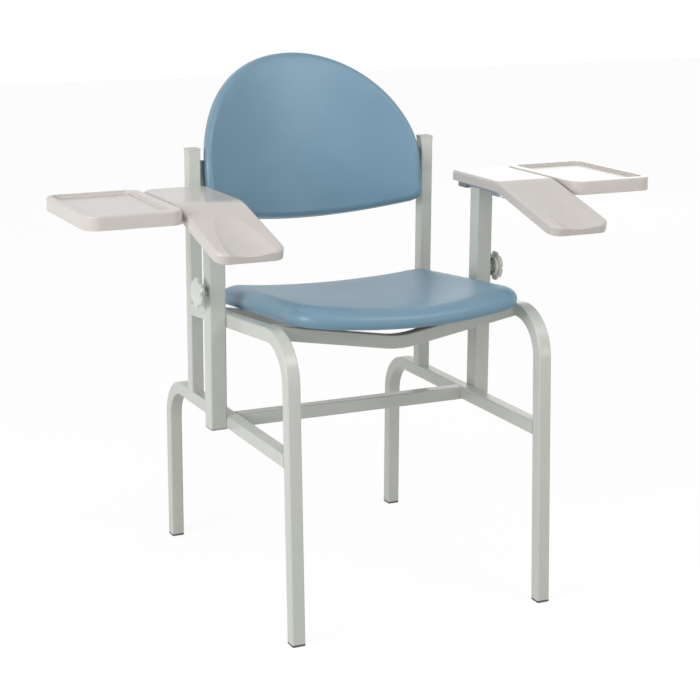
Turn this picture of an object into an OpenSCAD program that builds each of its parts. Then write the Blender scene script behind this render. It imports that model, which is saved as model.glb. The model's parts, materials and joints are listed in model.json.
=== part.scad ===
// Phlebotomy chair: a welded square-tube frame with an upholstered seat and back, and two arms
// that slide up and down in sleeves. Each arm carries a sloping armrest and a tray beside it.
// The origin is on the floor under the middle of the footprint. +Z is up and the sitter faces -Y,
// so left, which is the sitter's left, is +X. Lengths are in millimetres and angles in degrees.

/* [Frame] */
// Width over the side frames
frame_w = 459; // [420:1:540]
// Depth over the feet, on the floor
base_d = 566; // [520:1:640]
// Height of the seat rails' top, just behind the front bends
seat_rail_h = 484; // [440:1:540]
// Fall of the seat rails to the rear
seat_slope = 4.7; // [2:0.1:7]
// Backward lean of the front legs
leg_rake = 2.4; // [0:0.1:5]
// Height of the lower rails' top
lower_rail_h = 301; // [240:1:340]
// Distance from the rear of the back uprights to the rear of the rear legs
upright_setback = 115; // [90:1:140]
// Height of the back uprights, with their caps
upright_h = 718; // [690:1:780]
// Place of the arm posts and the cross bar, fore and aft of the middle
post_y = -5; // [-30:1:20]
// Place of the front bow, from the end of the front bends to its middle
front_bow_y = 8; // [6:0.5:20]
// Place of the rear bow, measured likewise
rear_bow_y = 250; // [200:1:280]
// Slope of the bows' two straight arms
bow_slope = 9.5; // [7:0.1:12]

/* [Square tube] */
// Width of the frame's tube
tube = 22; // [20:0.5:26]
// Wall of the frame's tube
tube_wall = 1.5; // [1:0.1:2.5]
// Outer corner radius of the frame's tube
tube_corner = 2.5; // [1.5:0.1:4]
// Radius of the front bends, to the middle of the tube
front_bend_r = 68; // [55:1:90]
// Radius of the rear bends, to the middle of the tube
rear_bend_r = 63; // [50:1:90]
// Radius of the bows' middle bend, to the middle of the tube
bow_bend_r = 150; // [100:1:220]

/* [Feet and caps] */
// Thickness of a foot under its leg
foot_t = 4; // [3:0.5:8]
// Thickness of a cap on a tube's end
cap_t = 3; // [2:0.5:6]
// How far the upright caps stand proud of their tubes
cap_overhang = 0.5; // [0:0.1:1]
// Length of the stem that holds a foot or cap in its tube
stem_l = 22; // [14:1:30]

/* [Arm posts] */
// Width of the sleeves' tube
sleeve = 28.6; // [26:0.1:34]
// Wall of the sleeves' tube
sleeve_wall = 1.5; // [1.2:0.1:2]
// Outer corner radius of the sleeves' tube
sleeve_corner = 3; // [2.5:0.1:4]
// Height of the sleeves' top
sleeve_top_h = 646.5; // [620:0.5:650]
// Clearance round the tube that slides in the sleeve
slide_gap = 0.3; // [0.2:0.05:0.5]
// Wall of the sliding tube
arm_tube_wall = 1.5; // [1.2:0.1:2]
// Length of the sliding tube
arm_tube_l = 330; // [300:1:350]

/* [Clamp] */
// Height of the clamp screws
clamp_h = 508; // [500:1:530]
// Diameter of the clamp studs
stud_d = 8; // [6:1:10]
// Width over the flats of the clamp nuts
nut_flats = 13; // [13:0.5:16]
// Height of the clamp nuts
nut_h = 6.5; // [5:0.5:8]
// Diameter of the knobs
knob_d = 50; // [44:1:58]
// Depth of the knobs, from rear rim to front face
knob_t = 10.5; // [10:0.5:16]
// Gap between the sleeve and the knob's rear rim
knob_standoff = 9; // [8.5:0.5:12]
// Number of finger notches in a knob
knob_notches = 6; // [5:1:8]
// Radius of a finger notch
notch_r = 5.2; // [4:0.1:7]
// Depth of a finger notch
notch_depth = 4.5; // [3:0.5:6]

/* [Armrests] */
// Height of the armrests' flat part and the trays, at the lowest setting
arm_h = 667; // [666:1:690]
// Width of an armrest
arm_w = 110; // [95:1:120]
// How far an armrest's inner edge reaches in over the frame
arm_overlap = 3.5; // [0:0.5:8]
// Length of the flat part, from the rear edge to the crease of the bend
arm_flat_l = 168; // [150:1:190]
// Length of the sloping part, from the crease to the front edge, along the slope
arm_slope_l = 181; // [150:1:210]
// Rear edge of the armrests, behind the middle of the arm posts
arm_rear = 84; // [76:1:100]
// Slope of the front part
arm_slope = 15.5; // [8:0.5:22]
// Radius of the bend between the two parts, at the top face
arm_bend_r = 110; // [60:1:160]
// Depth of an armrest's skirt
arm_skirt = 16.5; // [15:0.5:18]
// Wall of the moulded shells
shell_wall = 3; // [2:0.25:4]
// Corner radius of an armrest in plan
arm_corner = 20; // [12:1:24]
// Rounding of an armrest's top edge
arm_edge = 5; // [3.5:0.5:6]
// Depth of the dish at the front edge
dish_depth = 7; // [3:0.5:8]
// Width of the dish at the front edge
dish_w = 76; // [60:1:90]
// Length of the dish, back from the front edge
dish_l = 130; // [100:1:150]

/* [Trays] */
// Width of a tray
tray_w = 156; // [130:1:180]
// Depth of a tray, fore and aft
tray_l = 231; // [200:1:250]
// Height of a tray's skirt
tray_t = 22; // [20:1:28]
// Gap between a tray and its armrest
tray_gap = 4; // [2:0.5:8]
// Rear edge of the trays, behind the middle of the arm posts
tray_rear = 91; // [80:1:100]
// Corner radius of a tray in plan
tray_corner = 24; // [12:1:30]
// Rounding of a tray's top edge
tray_edge = 3; // [2:0.5:4]
// Depth of a tray's recess
recess_depth = 4.5; // [4:0.5:7]
// Rim at the outer side of the recess
rim_outer = 9; // [7:0.5:14]
// Rim at the rear of the recess
rim_rear = 10; // [7:0.5:14]
// Rim at the side of the recess that faces the sitter
rim_inner = 17; // [10:0.5:24]
// Rim at the front of the recess
rim_front = 16; // [10:0.5:24]
// Corner radius of the recess
recess_corner = 12; // [6:0.5:16]

/* [Arm brackets] */
// Thickness of the bracket straps and the tray supports
strap_t = 3.5; // [3:0.25:5]
// Reach of a strap in front of the middle of its post
strap_front = 89; // [80:1:105]
// Reach of a strap behind the middle of its post
strap_rear = 68; // [50:1:75]
// Thickness of the pads under a strap's ends
pad_t = 6; // [4:0.5:8]
// Length of a strap's pads
pad_l = 36; // [28:1:40]
// Width of a tray support, fore and aft
support_w = 64; // [50:1:70]
// Reach of a tray support under its tray
support_reach = 128; // [100:1:135]
// Shank diameter of the screws in the armrests and trays
screw_d = 4.8; // [4:0.2:6]
// Head diameter of those screws
screw_head_d = 9.5; // [8:0.5:12]

/* [Seat] */
// Gap between the seat's lower edge and the side frames, each side
seat_side_gap = 15.5; // [8:0.5:30]
// Depth of the seat at its lower edge, fore and aft
seat_l = 363; // [345:1:380]
// Reach of the seat in front of the end of the front bends
seat_front = 78; // [60:1:90]
// How far the front edge bows forward in the middle
seat_bow = 29; // [15:1:40]
// Corner radius at the front
seat_corner = 45; // [30:1:70]
// Corner radius at the rear
seat_rear_corner = 26; // [16:1:40]
// Height of the seat's lower edge over the rails, at the sides
seat_gap = 2.5; // [1.5:0.5:6]
// How far the seat sags in the middle, across its width
seat_dish = 13; // [9:0.5:16]
// Thickness of the seat board
seat_board_t = 11; // [9:0.5:14]
// Height of the seat's side bolsters over its lower edge
seat_crown = 29.5; // [24:0.5:34]
// Thickness of the pad over the board in the middle of the seat
seat_pad_t = 18.5; // [14:0.5:24]
// How far the pad's sides bulge past the lower edge
seat_bulge = 6.5; // [4:0.5:9]
// Distance of the seat bolts from the seat's side edges
seat_bolt_inset = 42; // [30:1:60]
// Diameter of the seat bolts
seat_bolt_d = 6; // [5:0.5:8]

/* [Back] */
// Gap between the back and the uprights, each side
back_side_gap = 8; // [6:0.5:18]
// Height of the back, along its lean
back_l = 290; // [260:1:330]
// Backward lean of the back
back_lean = 13; // [9:0.1:14]
// Height of the back's lower edge, in the middle of its rear face
back_h = 578; // [570:1:590]
// Distance of that edge behind the front of the uprights
back_y = 57; // [52:1:58]
// How far the back curves forward at its sides
back_curve = 71; // [66:1:74]
// Height of the back's straight sides
back_side_h = 85; // [70:1:130]
// Rise of the lower edge at the sides
back_bow = 14.5; // [8:0.5:24]
// Radius of the lower corners
back_corner = 17; // [12:1:30]
// Thickness of the back at its edge
back_t = 24; // [20:1:32]
// Rounding of the back's front edge
back_round = 12; // [6:0.5:16]
// How far the front face bellies out in its middle
back_belly = 4; // [2:0.5:6]
// Thickness of the back board
back_board_t = 8; // [6:0.5:10]
// Thickness of the straps that hold the back board
back_strap_t = 4; // [3:0.5:5]
// Height of those straps
back_strap_h = 46; // [40:1:50]

/* [Hidden] */

paint = [0.80, 0.81, 0.78];
shell_colour = [0.85, 0.83, 0.81];
cover_colour = [0.45, 0.58, 0.65];
plywood = [0.20, 0.20, 0.22];
steel = [0.66, 0.67, 0.69];
plastic = [0.62, 0.63, 0.61];

// Overrun of a cut past the face that it opens
cut = 5;
// Overrun of a solid that is trimmed back to its neighbour's face
trim = 40;
// Lap that fuses the straight and bent stretches of a moulding
lap = 0.005;
// A tube's straight stretches reach this far into its bends, whose wall is thicker by the swell
bend_lap = 0.5;
bend_swell = 0.03;
// Gap where one piece sits on another's curved face
seat_fit = 0.2;
// Gap between a pad and the board inside it
pad_fit = 0.3;
// Gap between a screw's tip and the bottom of its hole
tip_gap = 0.5;
// Clearance round a stem in its tube, and round a stud or bolt in its thread
stem_fit = 0.2;
thread_fit = 0.05;
// Clearance round a bolt in a plain hole
hole_fit = 0.3;

// Places across the chair
half_frame = frame_w / 2;
inner_face = half_frame - tube;
side_middle = half_frame - tube / 2;
post_x = half_frame + sleeve / 2;
seat_w = 2 * (inner_face - seat_side_gap);
seat_bolt_x = seat_w / 2 - seat_bolt_inset;
back_w = 2 * (inner_face - back_side_gap);

// Places in the side plane, as [fore and aft, height]
leg_up = [sin(leg_rake), cos(leg_rake)];
leg_back = [cos(leg_rake), -sin(leg_rake)];
rail_back = [cos(seat_slope), -sin(seat_slope)];
rail_up = [sin(seat_slope), cos(seat_slope)];
front_foot_at = [-base_d / 2 + tube / 2 / cos(leg_rake), 0];
front_bend_z = seat_rail_h - (front_bend_r + tube / 2) * cos(seat_slope);
leg_run = (front_bend_z + front_bend_r * sin(leg_rake)) / cos(leg_rake);
front_bend = front_foot_at + leg_run * leg_up + front_bend_r * leg_back;
rail_start = front_bend + front_bend_r * rail_up;
upright_front = base_d / 2 - upright_setback - tube;
rear_leg_y = base_d / 2 - tube / 2;
lower_rail_z = lower_rail_h - tube / 2;
rear_bend = [rear_leg_y - rear_bend_r, lower_rail_z - rear_bend_r];

// Height of a bow's lowest centre line, under the rails' tops
bow_low = -tube / 2 - (inner_face - bow_bend_r * sin(bow_slope)) * tan(bow_slope)
    - bow_bend_r * (1 - cos(bow_slope));

// Stems of the feet, caps and plugs
stem_fin_t = 1.5;
stem_core_share = 0.8;
stem_fin_shares = [0.25, 0.55, 0.85];
foot_edge = 1.5;

// The sliding tube hangs under the strap that closes its top
sleeve_bore = sleeve - 2 * sleeve_wall;
arm_tube = sleeve_bore - 2 * slide_gap;
arm_tube_corner = sleeve_corner - sleeve_wall - slide_gap + arm_tube_wall;
strap_top = arm_h - arm_skirt;
arm_tube_top = strap_top - strap_t;

// Nut, stud and knob, measured outwards from the sleeve's outer face
nut_bore = stud_d + 2 * thread_fit;
knob_front = knob_standoff + knob_t;
stud_cover = 3;
stud_end = knob_front - stud_cover;
knob_hub_d = 18;
knob_base_share = 0.72;
knob_base_t = 4;
knob_groove_t = 1.5;
knob_groove_depth = 1.5;
knob_edge = 2.5;
knob_dome = 1.5;
knob_wall = 2.5;
knob_rib_t = 1.6;
knob_rib_sink = 2;
nut_gap = 0.5;

// Armrest and tray, measured across from the frame's middle
arm_inner = half_frame - arm_overlap;
tray_inner = arm_inner + arm_w + tray_gap;
tray_outer = tray_inner + tray_w;
boss_d = 11;
rib_t = 2;
boss_root_share = 0.3;
rib_shares = [-0.25, 0, 0.25];
boss_h = arm_skirt - shell_wall * (1 - boss_root_share);
screw_head_t = 2.8;
screw_bite = 8;
arm_bend_run = arm_bend_r * tan(arm_slope / 2);
dish_overrun = 1.2;
arm_middle = arm_inner + arm_w / 2;
armrest_screw_spread = 22;
tray_screw_inset = 26;
support_corner = 9;
recess_edge = 3;

// Seat pad and board: z runs up from the plane of the rails' tops
seat_curve_r = (pow(seat_w / 2, 2) + pow(seat_dish, 2)) / (2 * seat_dish);
seat_axis_z = seat_gap - seat_dish + seat_curve_r;
seat_front_r = (pow(seat_w / 2, 2) + pow(seat_bow, 2)) / (2 * seat_bow);
seat_wrap = 4;
seat_crest_inset = 19.5;
seat_rear_rise_share = 0.5;
seat_middle_y = seat_l / 3;
seat_rear_edge_shares = [0.75, 0.5, 0.25, 0];
seat_under_shares = [0.4, 0.8];
seat_top_shares = [1, 0.85, 0.68, 0.5, 0.3];
// Rounded side of the seat pad: it swells out to its widest, then turns in to its crest
seat_widest_share = 0.32;
seat_swell_angles = [90 : -30 : 30];
seat_turn_angles = [0 : 15 : 75];

// Tee nuts in the board. The spacers stand between it and the bows, along the seat bolts
tee_barrel_d = 9;
tee_flange_d = 20;
tee_flange_t = 1.2;
tee_sink = 0.6;
spacer_h = (seat_under(seat_bolt_x) - bow_top(seat_bolt_x)) * cos(bow_slope);
tee_flange_z = spacer_h + seat_board_t - tee_flange_t - tee_sink;
bolt_head_share = 0.6;
seat_access_d = 14;
thread_share = 0.8;

// Back pad and board: y runs to the rear and z up, both leaning with the back
back_curve_r = (pow(back_w / 2, 2) + pow(back_curve, 2)) / (2 * back_curve);
back_bow_r = (pow(back_w / 2, 2) + pow(back_bow, 2)) / (2 * back_bow);
back_wrap = 4;
back_strap_z = 60;
back_strap_in = 112;
back_strap_bend = 152;
back_screw_x = 132;
back_screw_d = 5;
back_screw_head_d = 10;
back_screw_inset = 11;
back_middle_share = 0.45;
back_middle_z = back_l * back_middle_share;
back_board_shares = [0.25, 0.5, 0.75];
back_front_shares = [0.85, 0.65, 0.45, 0.2];
// Roundings of the back pad's rear edge and of its front edge
back_rear_round = 2;
back_rear_angles = [0 : 45 : 90];
back_round_angles = [0 : 18 : 90];

// Steps round the pads' outlines
bow_steps = 7;
corner_steps = 6;
side_steps = 5;
arch_steps = 11;

round_fn = 48;
bend_fn = 96;

// Turns the side plane's [fore and aft, height, across] into the chair's axes
module side_plane(x) {
    translate([x, 0, 0]) rotate([90, 0, 90]) children();
}

// Draws children for the left side and, mirrored, for the right side
module on_side(side) {
    mirror([side == "right" ? 1 : 0, 0, 0]) children();
}

// Rounded rectangle about the origin
module rounded_rect(w, l, r) {
    square([w - 2 * r, l], center = true);
    square([w, l - 2 * r], center = true);
    for (sx = [-1, 1], sy = [-1, 1])
        translate([sx * (w / 2 - r), sy * (l / 2 - r)]) circle(r, $fn = round_fn);
}

// Hollow section of a square tube
module tube_section(size, wall, corner) {
    difference() {
        rounded_rect(size, size, corner);
        rounded_rect(size - 2 * wall, size - 2 * wall, corner - wall);
    }
}

module frame_section() {
    tube_section(tube, tube_wall, tube_corner);
}

module bend_section() {
    tube_section(tube + 2 * bend_swell, tube_wall + 2 * bend_swell, tube_corner + bend_swell);
}

// Extrudes a section straight from p to q in the plane of drawing
module run(p, q) {
    v = q - p;
    translate([p.x, p.y, 0])
        rotate([0, 0, atan2(v.y, v.x)])
            rotate([90, 0, 90])
                translate([0, 0, -bend_lap]) linear_extrude(norm(v) + 2 * bend_lap) children();
}

// Turns the tube about a centre in the plane of drawing
module bend(centre, r, start, sweep) {
    translate([centre.x, centre.y, 0])
        rotate([0, 0, start])
            rotate_extrude(angle = sweep, $fn = bend_fn)
                translate([r, 0]) bend_section();
}

// Everything below a height, for cutting tube ends level
module below(h) {
    translate([-base_d, -base_d, h - base_d]) cube([2 * base_d, 2 * base_d, base_d]);
}

// The front leg as a solid bar, for cutting what butts against it
module front_leg_bar() {
    side_plane(side_middle)
        run(front_foot_at - trim * leg_up, front_foot_at + leg_run * leg_up)
            square(tube, center = true);
}

// Front leg, front bend and seat rail: one bent tube
module front_leg() {
    color(paint) difference() {
        side_plane(side_middle) {
            run(front_foot_at - trim * leg_up, front_foot_at + leg_run * leg_up) frame_section();
            bend(front_bend, front_bend_r, 90 - seat_slope, 90 + seat_slope - leg_rake);
            run(rail_start, rail_start + (upright_front + trim - rail_start.x) * rail_back)
                frame_section();
        }
        below(foot_t);
        translate([0, upright_front, 0]) cube([frame_w, base_d, upright_h]);
    }
}

// Rear leg, rear bend and lower rail: one bent tube that butts against the front leg
module rear_leg() {
    rail_start_y = front_foot_at.x + lower_rail_z * tan(leg_rake);
    color(paint) difference() {
        side_plane(side_middle) {
            run([rear_leg_y, foot_t], [rear_leg_y, rear_bend.y]) frame_section();
            bend(rear_bend, rear_bend_r, 0, 90);
            run([rail_start_y, lower_rail_z], [rear_bend.x, lower_rail_z]) frame_section();
        }
        below(foot_t);
        front_leg_bar();
    }
}

// Plug with fins that grip the inside of a tube, from the floor of its flange up
module finned_stem(bore) {
    grip = bore - 2 * stem_fit;
    core = grip * stem_core_share;
    translate([-core / 2, -core / 2, 0]) cube([core, core, stem_l]);
    for (share = stem_fin_shares)
        translate([-grip / 2, -grip / 2, share * stem_l - stem_fin_t]) cube([grip, grip, stem_fin_t]);
}

// Flange with its outer edge rounded, standing on z = 0
module edged_flange(size, corner, t) {
    mirror([0, 0, 1]) slab(size, size, corner, t, foot_edge);
}

// A foot: its stem follows the lean of the leg
module foot(at, rake) {
    color(plastic) translate([side_middle, at, 0]) {
        edged_flange(tube, tube_corner, foot_t);
        rotate([-rake, 0, 0]) translate([0, 0, foot_t - foot_edge / 2])
            finned_stem(tube - 2 * tube_wall);
    }
}

module front_foot() {
    foot(front_foot_at.x, leg_rake);
}

module rear_foot() {
    foot(rear_leg_y, 0);
}

module upright() {
    color(paint)
        translate([side_middle, upright_front + tube / 2, lower_rail_h])
            linear_extrude(upright_h - cap_t - lower_rail_h) frame_section();
}

module upright_cap() {
    color(plastic) translate([side_middle, upright_front + tube / 2, upright_h]) rotate([180, 0, 0]) {
        edged_flange(tube + 2 * cap_overhang, tube_corner, cap_t);
        translate([0, 0, cap_t]) finned_stem(tube - 2 * tube_wall);
    }
}

module cross_bar() {
    color(paint)
        translate([-inner_face, post_y, lower_rail_z])
            rotate([90, 0, 90]) linear_extrude(2 * inner_face) frame_section();
}

// Sets children in the seat's own frame: z = 0 is the plane of the rails' tops, y = 0 the end of
// the front bends, and y runs back along the rails
module seat_frame() {
    top = rail_start + tube / 2 * rail_up;
    translate([0, top.x, top.y]) rotate([-seat_slope, 0, 0]) children();
}

// Height of a bow's top face at a distance from the middle
function bow_top(x) = (tube / 2) / cos(bow_slope) - tube / 2 - (inner_face - x) * tan(bow_slope);

// A bow across the seat rails: two straight arms and a bent middle. The seat bolts' heads sit
// inside it, and go in through the wider holes in its lower wall
module bow(y) {
    tangent = [bow_bend_r * sin(bow_slope), bow_low + bow_bend_r * (1 - cos(bow_slope))];
    arm = [cos(bow_slope), sin(bow_slope)];
    seat_frame() difference() {
        translate([0, y, 0]) rotate([90, 0, 0]) {
            bend([0, bow_low + bow_bend_r], bow_bend_r, -90 - bow_slope, 2 * bow_slope);
            run(tangent, tangent + inner_face * arm) frame_section();
            mirror([1, 0, 0]) run(tangent, tangent + inner_face * arm) frame_section();
        }
        for (side = [0, 1]) mirror([side, 0, 0])
            translate([inner_face, y - tube, -frame_w / 2]) cube([frame_w, 2 * tube, frame_w]);
        on_bow(y) translate([0, 0, -tube / 2])
            cylinder(d = seat_bolt_d + 2 * hole_fit, h = tube, $fn = round_fn);
        on_bow(y) translate([0, 0, -tube - cut])
            cylinder(d = seat_access_d, h = tube / 2 + cut, $fn = round_fn);
    }
}

// Sets children on a bow's top face at each seat bolt, square to the bow
module on_bow(y) {
    for (side = [0, 1]) mirror([side, 0, 0])
        translate([seat_bolt_x, y, bow_top(seat_bolt_x)]) rotate([0, -bow_slope, 0]) children();
}

module front_bow() {
    color(paint) bow(front_bow_y);
}

module rear_bow() {
    color(paint) bow(rear_bow_y);
}

// Outer tube of an arm post, with a hole for the clamp stud in its outer wall
module arm_sleeve() {
    foot_z = lower_rail_h - tube + cap_t;
    color(paint) difference() {
        translate([post_x, post_y, foot_z])
            linear_extrude(sleeve_top_h - foot_z) tube_section(sleeve, sleeve_wall, sleeve_corner);
        translate([post_x, post_y, clamp_h]) rotate([0, 90, 0])
            cylinder(d = nut_bore, h = sleeve, $fn = round_fn);
    }
}

module sleeve_plug() {
    color(plastic) translate([post_x, post_y, lower_rail_h - tube]) {
        edged_flange(sleeve, sleeve_corner, cap_t);
        translate([0, 0, cap_t]) finned_stem(sleeve_bore);
    }
}

// Sets children on the clamp's axis: z runs outwards from the sleeve's outer face
module clamp_axis() {
    translate([post_x + sleeve / 2, post_y, clamp_h]) rotate([0, 90, 0]) children();
}

module clamp_nut() {
    color(paint) clamp_axis() difference() {
        cylinder(d = nut_flats / cos(30), h = nut_h, $fn = 6);
        translate([0, 0, -cut]) cylinder(d = nut_bore, h = nut_h + 2 * cut, $fn = round_fn);
    }
}

// The stud turns with the knob and presses on the sliding tube
module clamp_stud() {
    reach = sleeve_wall + slide_gap - thread_fit;
    color(steel) clamp_axis() translate([0, 0, -reach])
        cylinder(d = stud_d, h = reach + stud_end, $fn = round_fn);
}

// Section of a knob from its axis out: base disc, groove and wider domed front
module knob_profile() {
    r = knob_d / 2;
    base_r = r * knob_base_share;
    groove_r = base_r - knob_groove_depth;
    base_z = knob_standoff + knob_base_t;
    body_z = base_z + knob_groove_t;
    side_z = knob_front - knob_dome - knob_edge;
    polygon(concat(
        [[0, knob_standoff], [base_r, knob_standoff], [base_r, base_z]],
        [[groove_r, base_z], [groove_r, body_z], [r, body_z]],
        [for (a = [0 : 15 : 90]) [r - knob_edge + knob_edge * cos(a), side_z + knob_edge * sin(a)]],
        [[r / 2, knob_front - knob_dome / 4], [0, knob_front]]
    ));
}

module clamp_knob() {
    r = knob_d / 2;
    pocket_t = knob_t - knob_dome - knob_wall;
    pocket_r = r * knob_base_share - knob_groove_depth - knob_wall;
    color(plastic) clamp_axis() difference() {
        union() {
            difference() {
                rotate_extrude($fn = bend_fn) knob_profile();
                for (i = [0 : knob_notches - 1]) rotate([0, 0, (i + 0.5) * 360 / knob_notches])
                    translate([r - notch_depth + notch_r, 0, 0])
                        cylinder(r = notch_r, h = 2 * knob_front, $fn = round_fn);
                translate([0, 0, knob_standoff - cut])
                    cylinder(r = pocket_r, h = pocket_t + cut, $fn = bend_fn);
            }
            translate([0, 0, nut_h + nut_gap])
                cylinder(d = knob_hub_d, h = knob_front - knob_dome - nut_h - nut_gap, $fn = round_fn);
            for (i = [0 : knob_notches - 1]) rotate([0, 0, i * 360 / knob_notches])
                translate([0, -knob_rib_t / 2, knob_standoff + knob_rib_sink])
                    cube([pocket_r + knob_wall / 2, knob_rib_t, pocket_t]);
        }
        cylinder(d = stud_d, h = stud_end, $fn = round_fn);
    }
}

// Inner tube of an arm post
module arm_tube() {
    color(paint) translate([post_x, post_y, arm_tube_top - arm_tube_l + cap_t])
        linear_extrude(arm_tube_l - cap_t) tube_section(arm_tube, arm_tube_wall, arm_tube_corner);
}

module tube_plug() {
    color(plastic) translate([post_x, post_y, arm_tube_top - arm_tube_l]) {
        edged_flange(arm_tube, arm_tube_corner, cap_t);
        translate([0, 0, cap_t]) finned_stem(arm_tube - 2 * arm_tube_wall);
    }
}

// Places of an armrest's four screws, from the middle of its post
pad_screws = [[0, -strap_front + arm_tube / 2], [0, strap_rear - arm_tube / 2]];
outer_screws = [for (side = [-1, 1]) [arm_inner + arm_w - boss_d - post_x, side * armrest_screw_spread]];
tray_screws = [
    for (x = [tray_inner + tray_screw_inset, tray_inner + support_reach - tray_screw_inset / 2], side = [-1, 1])
        [x - post_x, side * armrest_screw_spread]
];

// Strap on the sliding tube's top, with a rounded pad under each end
module arm_bracket() {
    half = arm_tube / 2;
    color(paint) translate([post_x, post_y, 0]) difference() {
        union() {
            translate([0, 0, arm_tube_top]) linear_extrude(strap_t) {
                translate([-half, -strap_front + half])
                    square([arm_tube, strap_front + strap_rear - arm_tube]);
                for (at = pad_screws) translate(at) circle(half, $fn = round_fn);
            }
            for (at = pad_screws) translate([0, 0, arm_tube_top - pad_t]) linear_extrude(pad_t) {
                translate(at) circle(half, $fn = round_fn);
                translate([-half, at.y > 0 ? at.y + half - pad_l : at.y])
                    square([arm_tube, pad_l - half]);
            }
        }
        for (at = pad_screws) translate([at.x, at.y, arm_tube_top - pad_t - cut])
            cylinder(d = screw_d + 2 * hole_fit, h = pad_t + strap_t + 2 * cut, $fn = round_fn);
    }
}

// Plate from the strap out to the tray, flush with the strap's top
module tray_support() {
    reach = tray_inner + support_reach - post_x;
    color(paint) translate([post_x, post_y, arm_tube_top]) difference() {
        linear_extrude(strap_t) {
            translate([arm_tube / 2, -support_w / 2]) square([reach - arm_tube, support_w]);
            translate([reach - arm_tube, 0]) rounded_rect(arm_tube, support_w, support_corner);
        }
        for (at = concat(outer_screws, tray_screws)) translate([at.x, at.y, -cut])
            cylinder(d = screw_d + 2 * hole_fit, h = strap_t + 2 * cut, $fn = round_fn);
    }
}

// Half section of a moulding from a line inside it out to its skirt: its top face is at y = 0
module edge_profile(r, depth, edge) {
    polygon(concat(
        [[0, 0]],
        [for (a = [90 : -15 : 0]) [r - edge + edge * cos(a), -edge + edge * sin(a)]],
        [[r, -depth], [0, -depth]]
    ));
}

// Whole section across a moulding
module bar_profile(w, depth, edge) {
    translate([w / 2 - edge, 0]) edge_profile(edge, depth, edge);
    mirror([1, 0]) translate([w / 2 - edge, 0]) edge_profile(edge, depth, edge);
    translate([-w / 2 + edge, -depth]) square([w - 2 * edge, depth]);
}

// End of a moulding: two rounded corners and the edge between them. It starts at y = 0 and
// reaches r back from there
module slab_end(w, r, depth, edge) {
    for (side = [0, 1]) mirror([side, 0, 0]) translate([w / 2 - r, 0, 0])
        rotate_extrude(angle = 90, $fn = bend_fn) edge_profile(r, depth, edge);
    translate([w / 2 - r, 0, 0]) rotate([90, 0, -90]) mirror([1, 0, 0])
        linear_extrude(w - 2 * r) edge_profile(r, depth, edge);
}

// Armrest's outer form, or with an inset the hollow inside it. The crease of the bend is at
// y = 0, the flat part runs to +y and the sloping part down to -y, and the top face is at z = 0
module armrest_form(inset, depth) {
    w = arm_w - 2 * inset;
    r = arm_corner - inset;
    edge = max(arm_edge - inset, arm_edge / 4);
    flat_l = arm_flat_l - arm_corner;
    slope_l = arm_slope_l - arm_corner;
    translate([0, 0, -inset]) {
        translate([0, flat_l, 0]) slab_end(w, r, depth, edge);
        translate([0, flat_l, 0]) rotate([90, 0, 0])
            linear_extrude(flat_l - arm_bend_run + lap) bar_profile(w, depth, edge);
        translate([0, arm_bend_run, 0]) bent_bar(w, depth, edge, inset);
    }
    rotate([arm_slope, 0, 0]) translate([0, 0, -inset]) {
        translate([0, -arm_bend_run + lap, 0]) rotate([90, 0, 0])
            linear_extrude(slope_l - arm_bend_run + lap) bar_profile(w, depth, edge);
        translate([0, -slope_l, 0]) mirror([0, 1, 0]) slab_end(w, r, depth, edge);
    }
}

// The bend between the two parts, turned about an axis under the top face
module bent_bar(w, depth, edge, inset) {
    r = arm_bend_r - inset;
    translate([0, 0, -r]) rotate([0, -90, 180])
        rotate_extrude(angle = arm_slope, $fn = 2 * bend_fn)
            translate([r, 0]) rotate([0, 0, -90]) bar_profile(w, depth, edge);
}

// Large ring that scoops the dish: deepest at the front edge, it leaves the top face dish_l back
module dish_cutter(extra) {
    r = (pow(dish_w / 2, 2) + pow(dish_depth, 2)) / (2 * dish_depth);
    ring_r = (pow(dish_l, 2) + pow(dish_depth, 2)) / (2 * dish_depth);
    turn = asin(dish_l / ring_r);
    rotate([arm_slope, 0, 0]) translate([0, -arm_slope_l, ring_r - dish_depth])
        rotate([0, 90, 0]) rotate([0, 0, -dish_overrun])
            rotate_extrude(angle = turn + 2 * dish_overrun, $fn = 8 * bend_fn)
                translate([ring_r - r, 0]) circle(r + extra, $fn = 2 * bend_fn);
}

// Sets children with the armrest's crease at y = 0 and its top face at z = 0
module armrest_frame() {
    translate([arm_middle, post_y + arm_rear - arm_flat_l, arm_h]) children();
}

module armrest() {
    color(shell_colour) difference() {
        union() {
            armrest_frame() difference() {
                armrest_form(0, arm_skirt);
                armrest_form(shell_wall, arm_skirt + cut);
            }
            armrest_frame() intersection() {
                armrest_form(shell_wall / 2, arm_skirt - shell_wall);
                dish_cutter(shell_wall);
            }
            for (at = concat(pad_screws, outer_screws))
                translate([post_x + at.x, post_y + at.y, strap_top])
                    cylinder(d = boss_d, h = boss_h, $fn = round_fn);
        }
        armrest_frame() dish_cutter(0);
        for (at = concat(pad_screws, outer_screws))
            translate([post_x + at.x, post_y + at.y, strap_top - cut])
                cylinder(d = screw_d, h = screw_bite + cut, $fn = round_fn);
    }
}

// Rounded slab with its top face at z = 0
module slab(w, l, r, depth, edge) {
    translate([0, l / 2 - r, 0]) slab_end(w, r, depth, edge);
    translate([0, l / 2 - r, 0]) rotate([90, 0, 0])
        linear_extrude(l - 2 * r) bar_profile(w, depth, edge);
    translate([0, r - l / 2, 0]) mirror([0, 1, 0]) slab_end(w, r, depth, edge);
}

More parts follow.
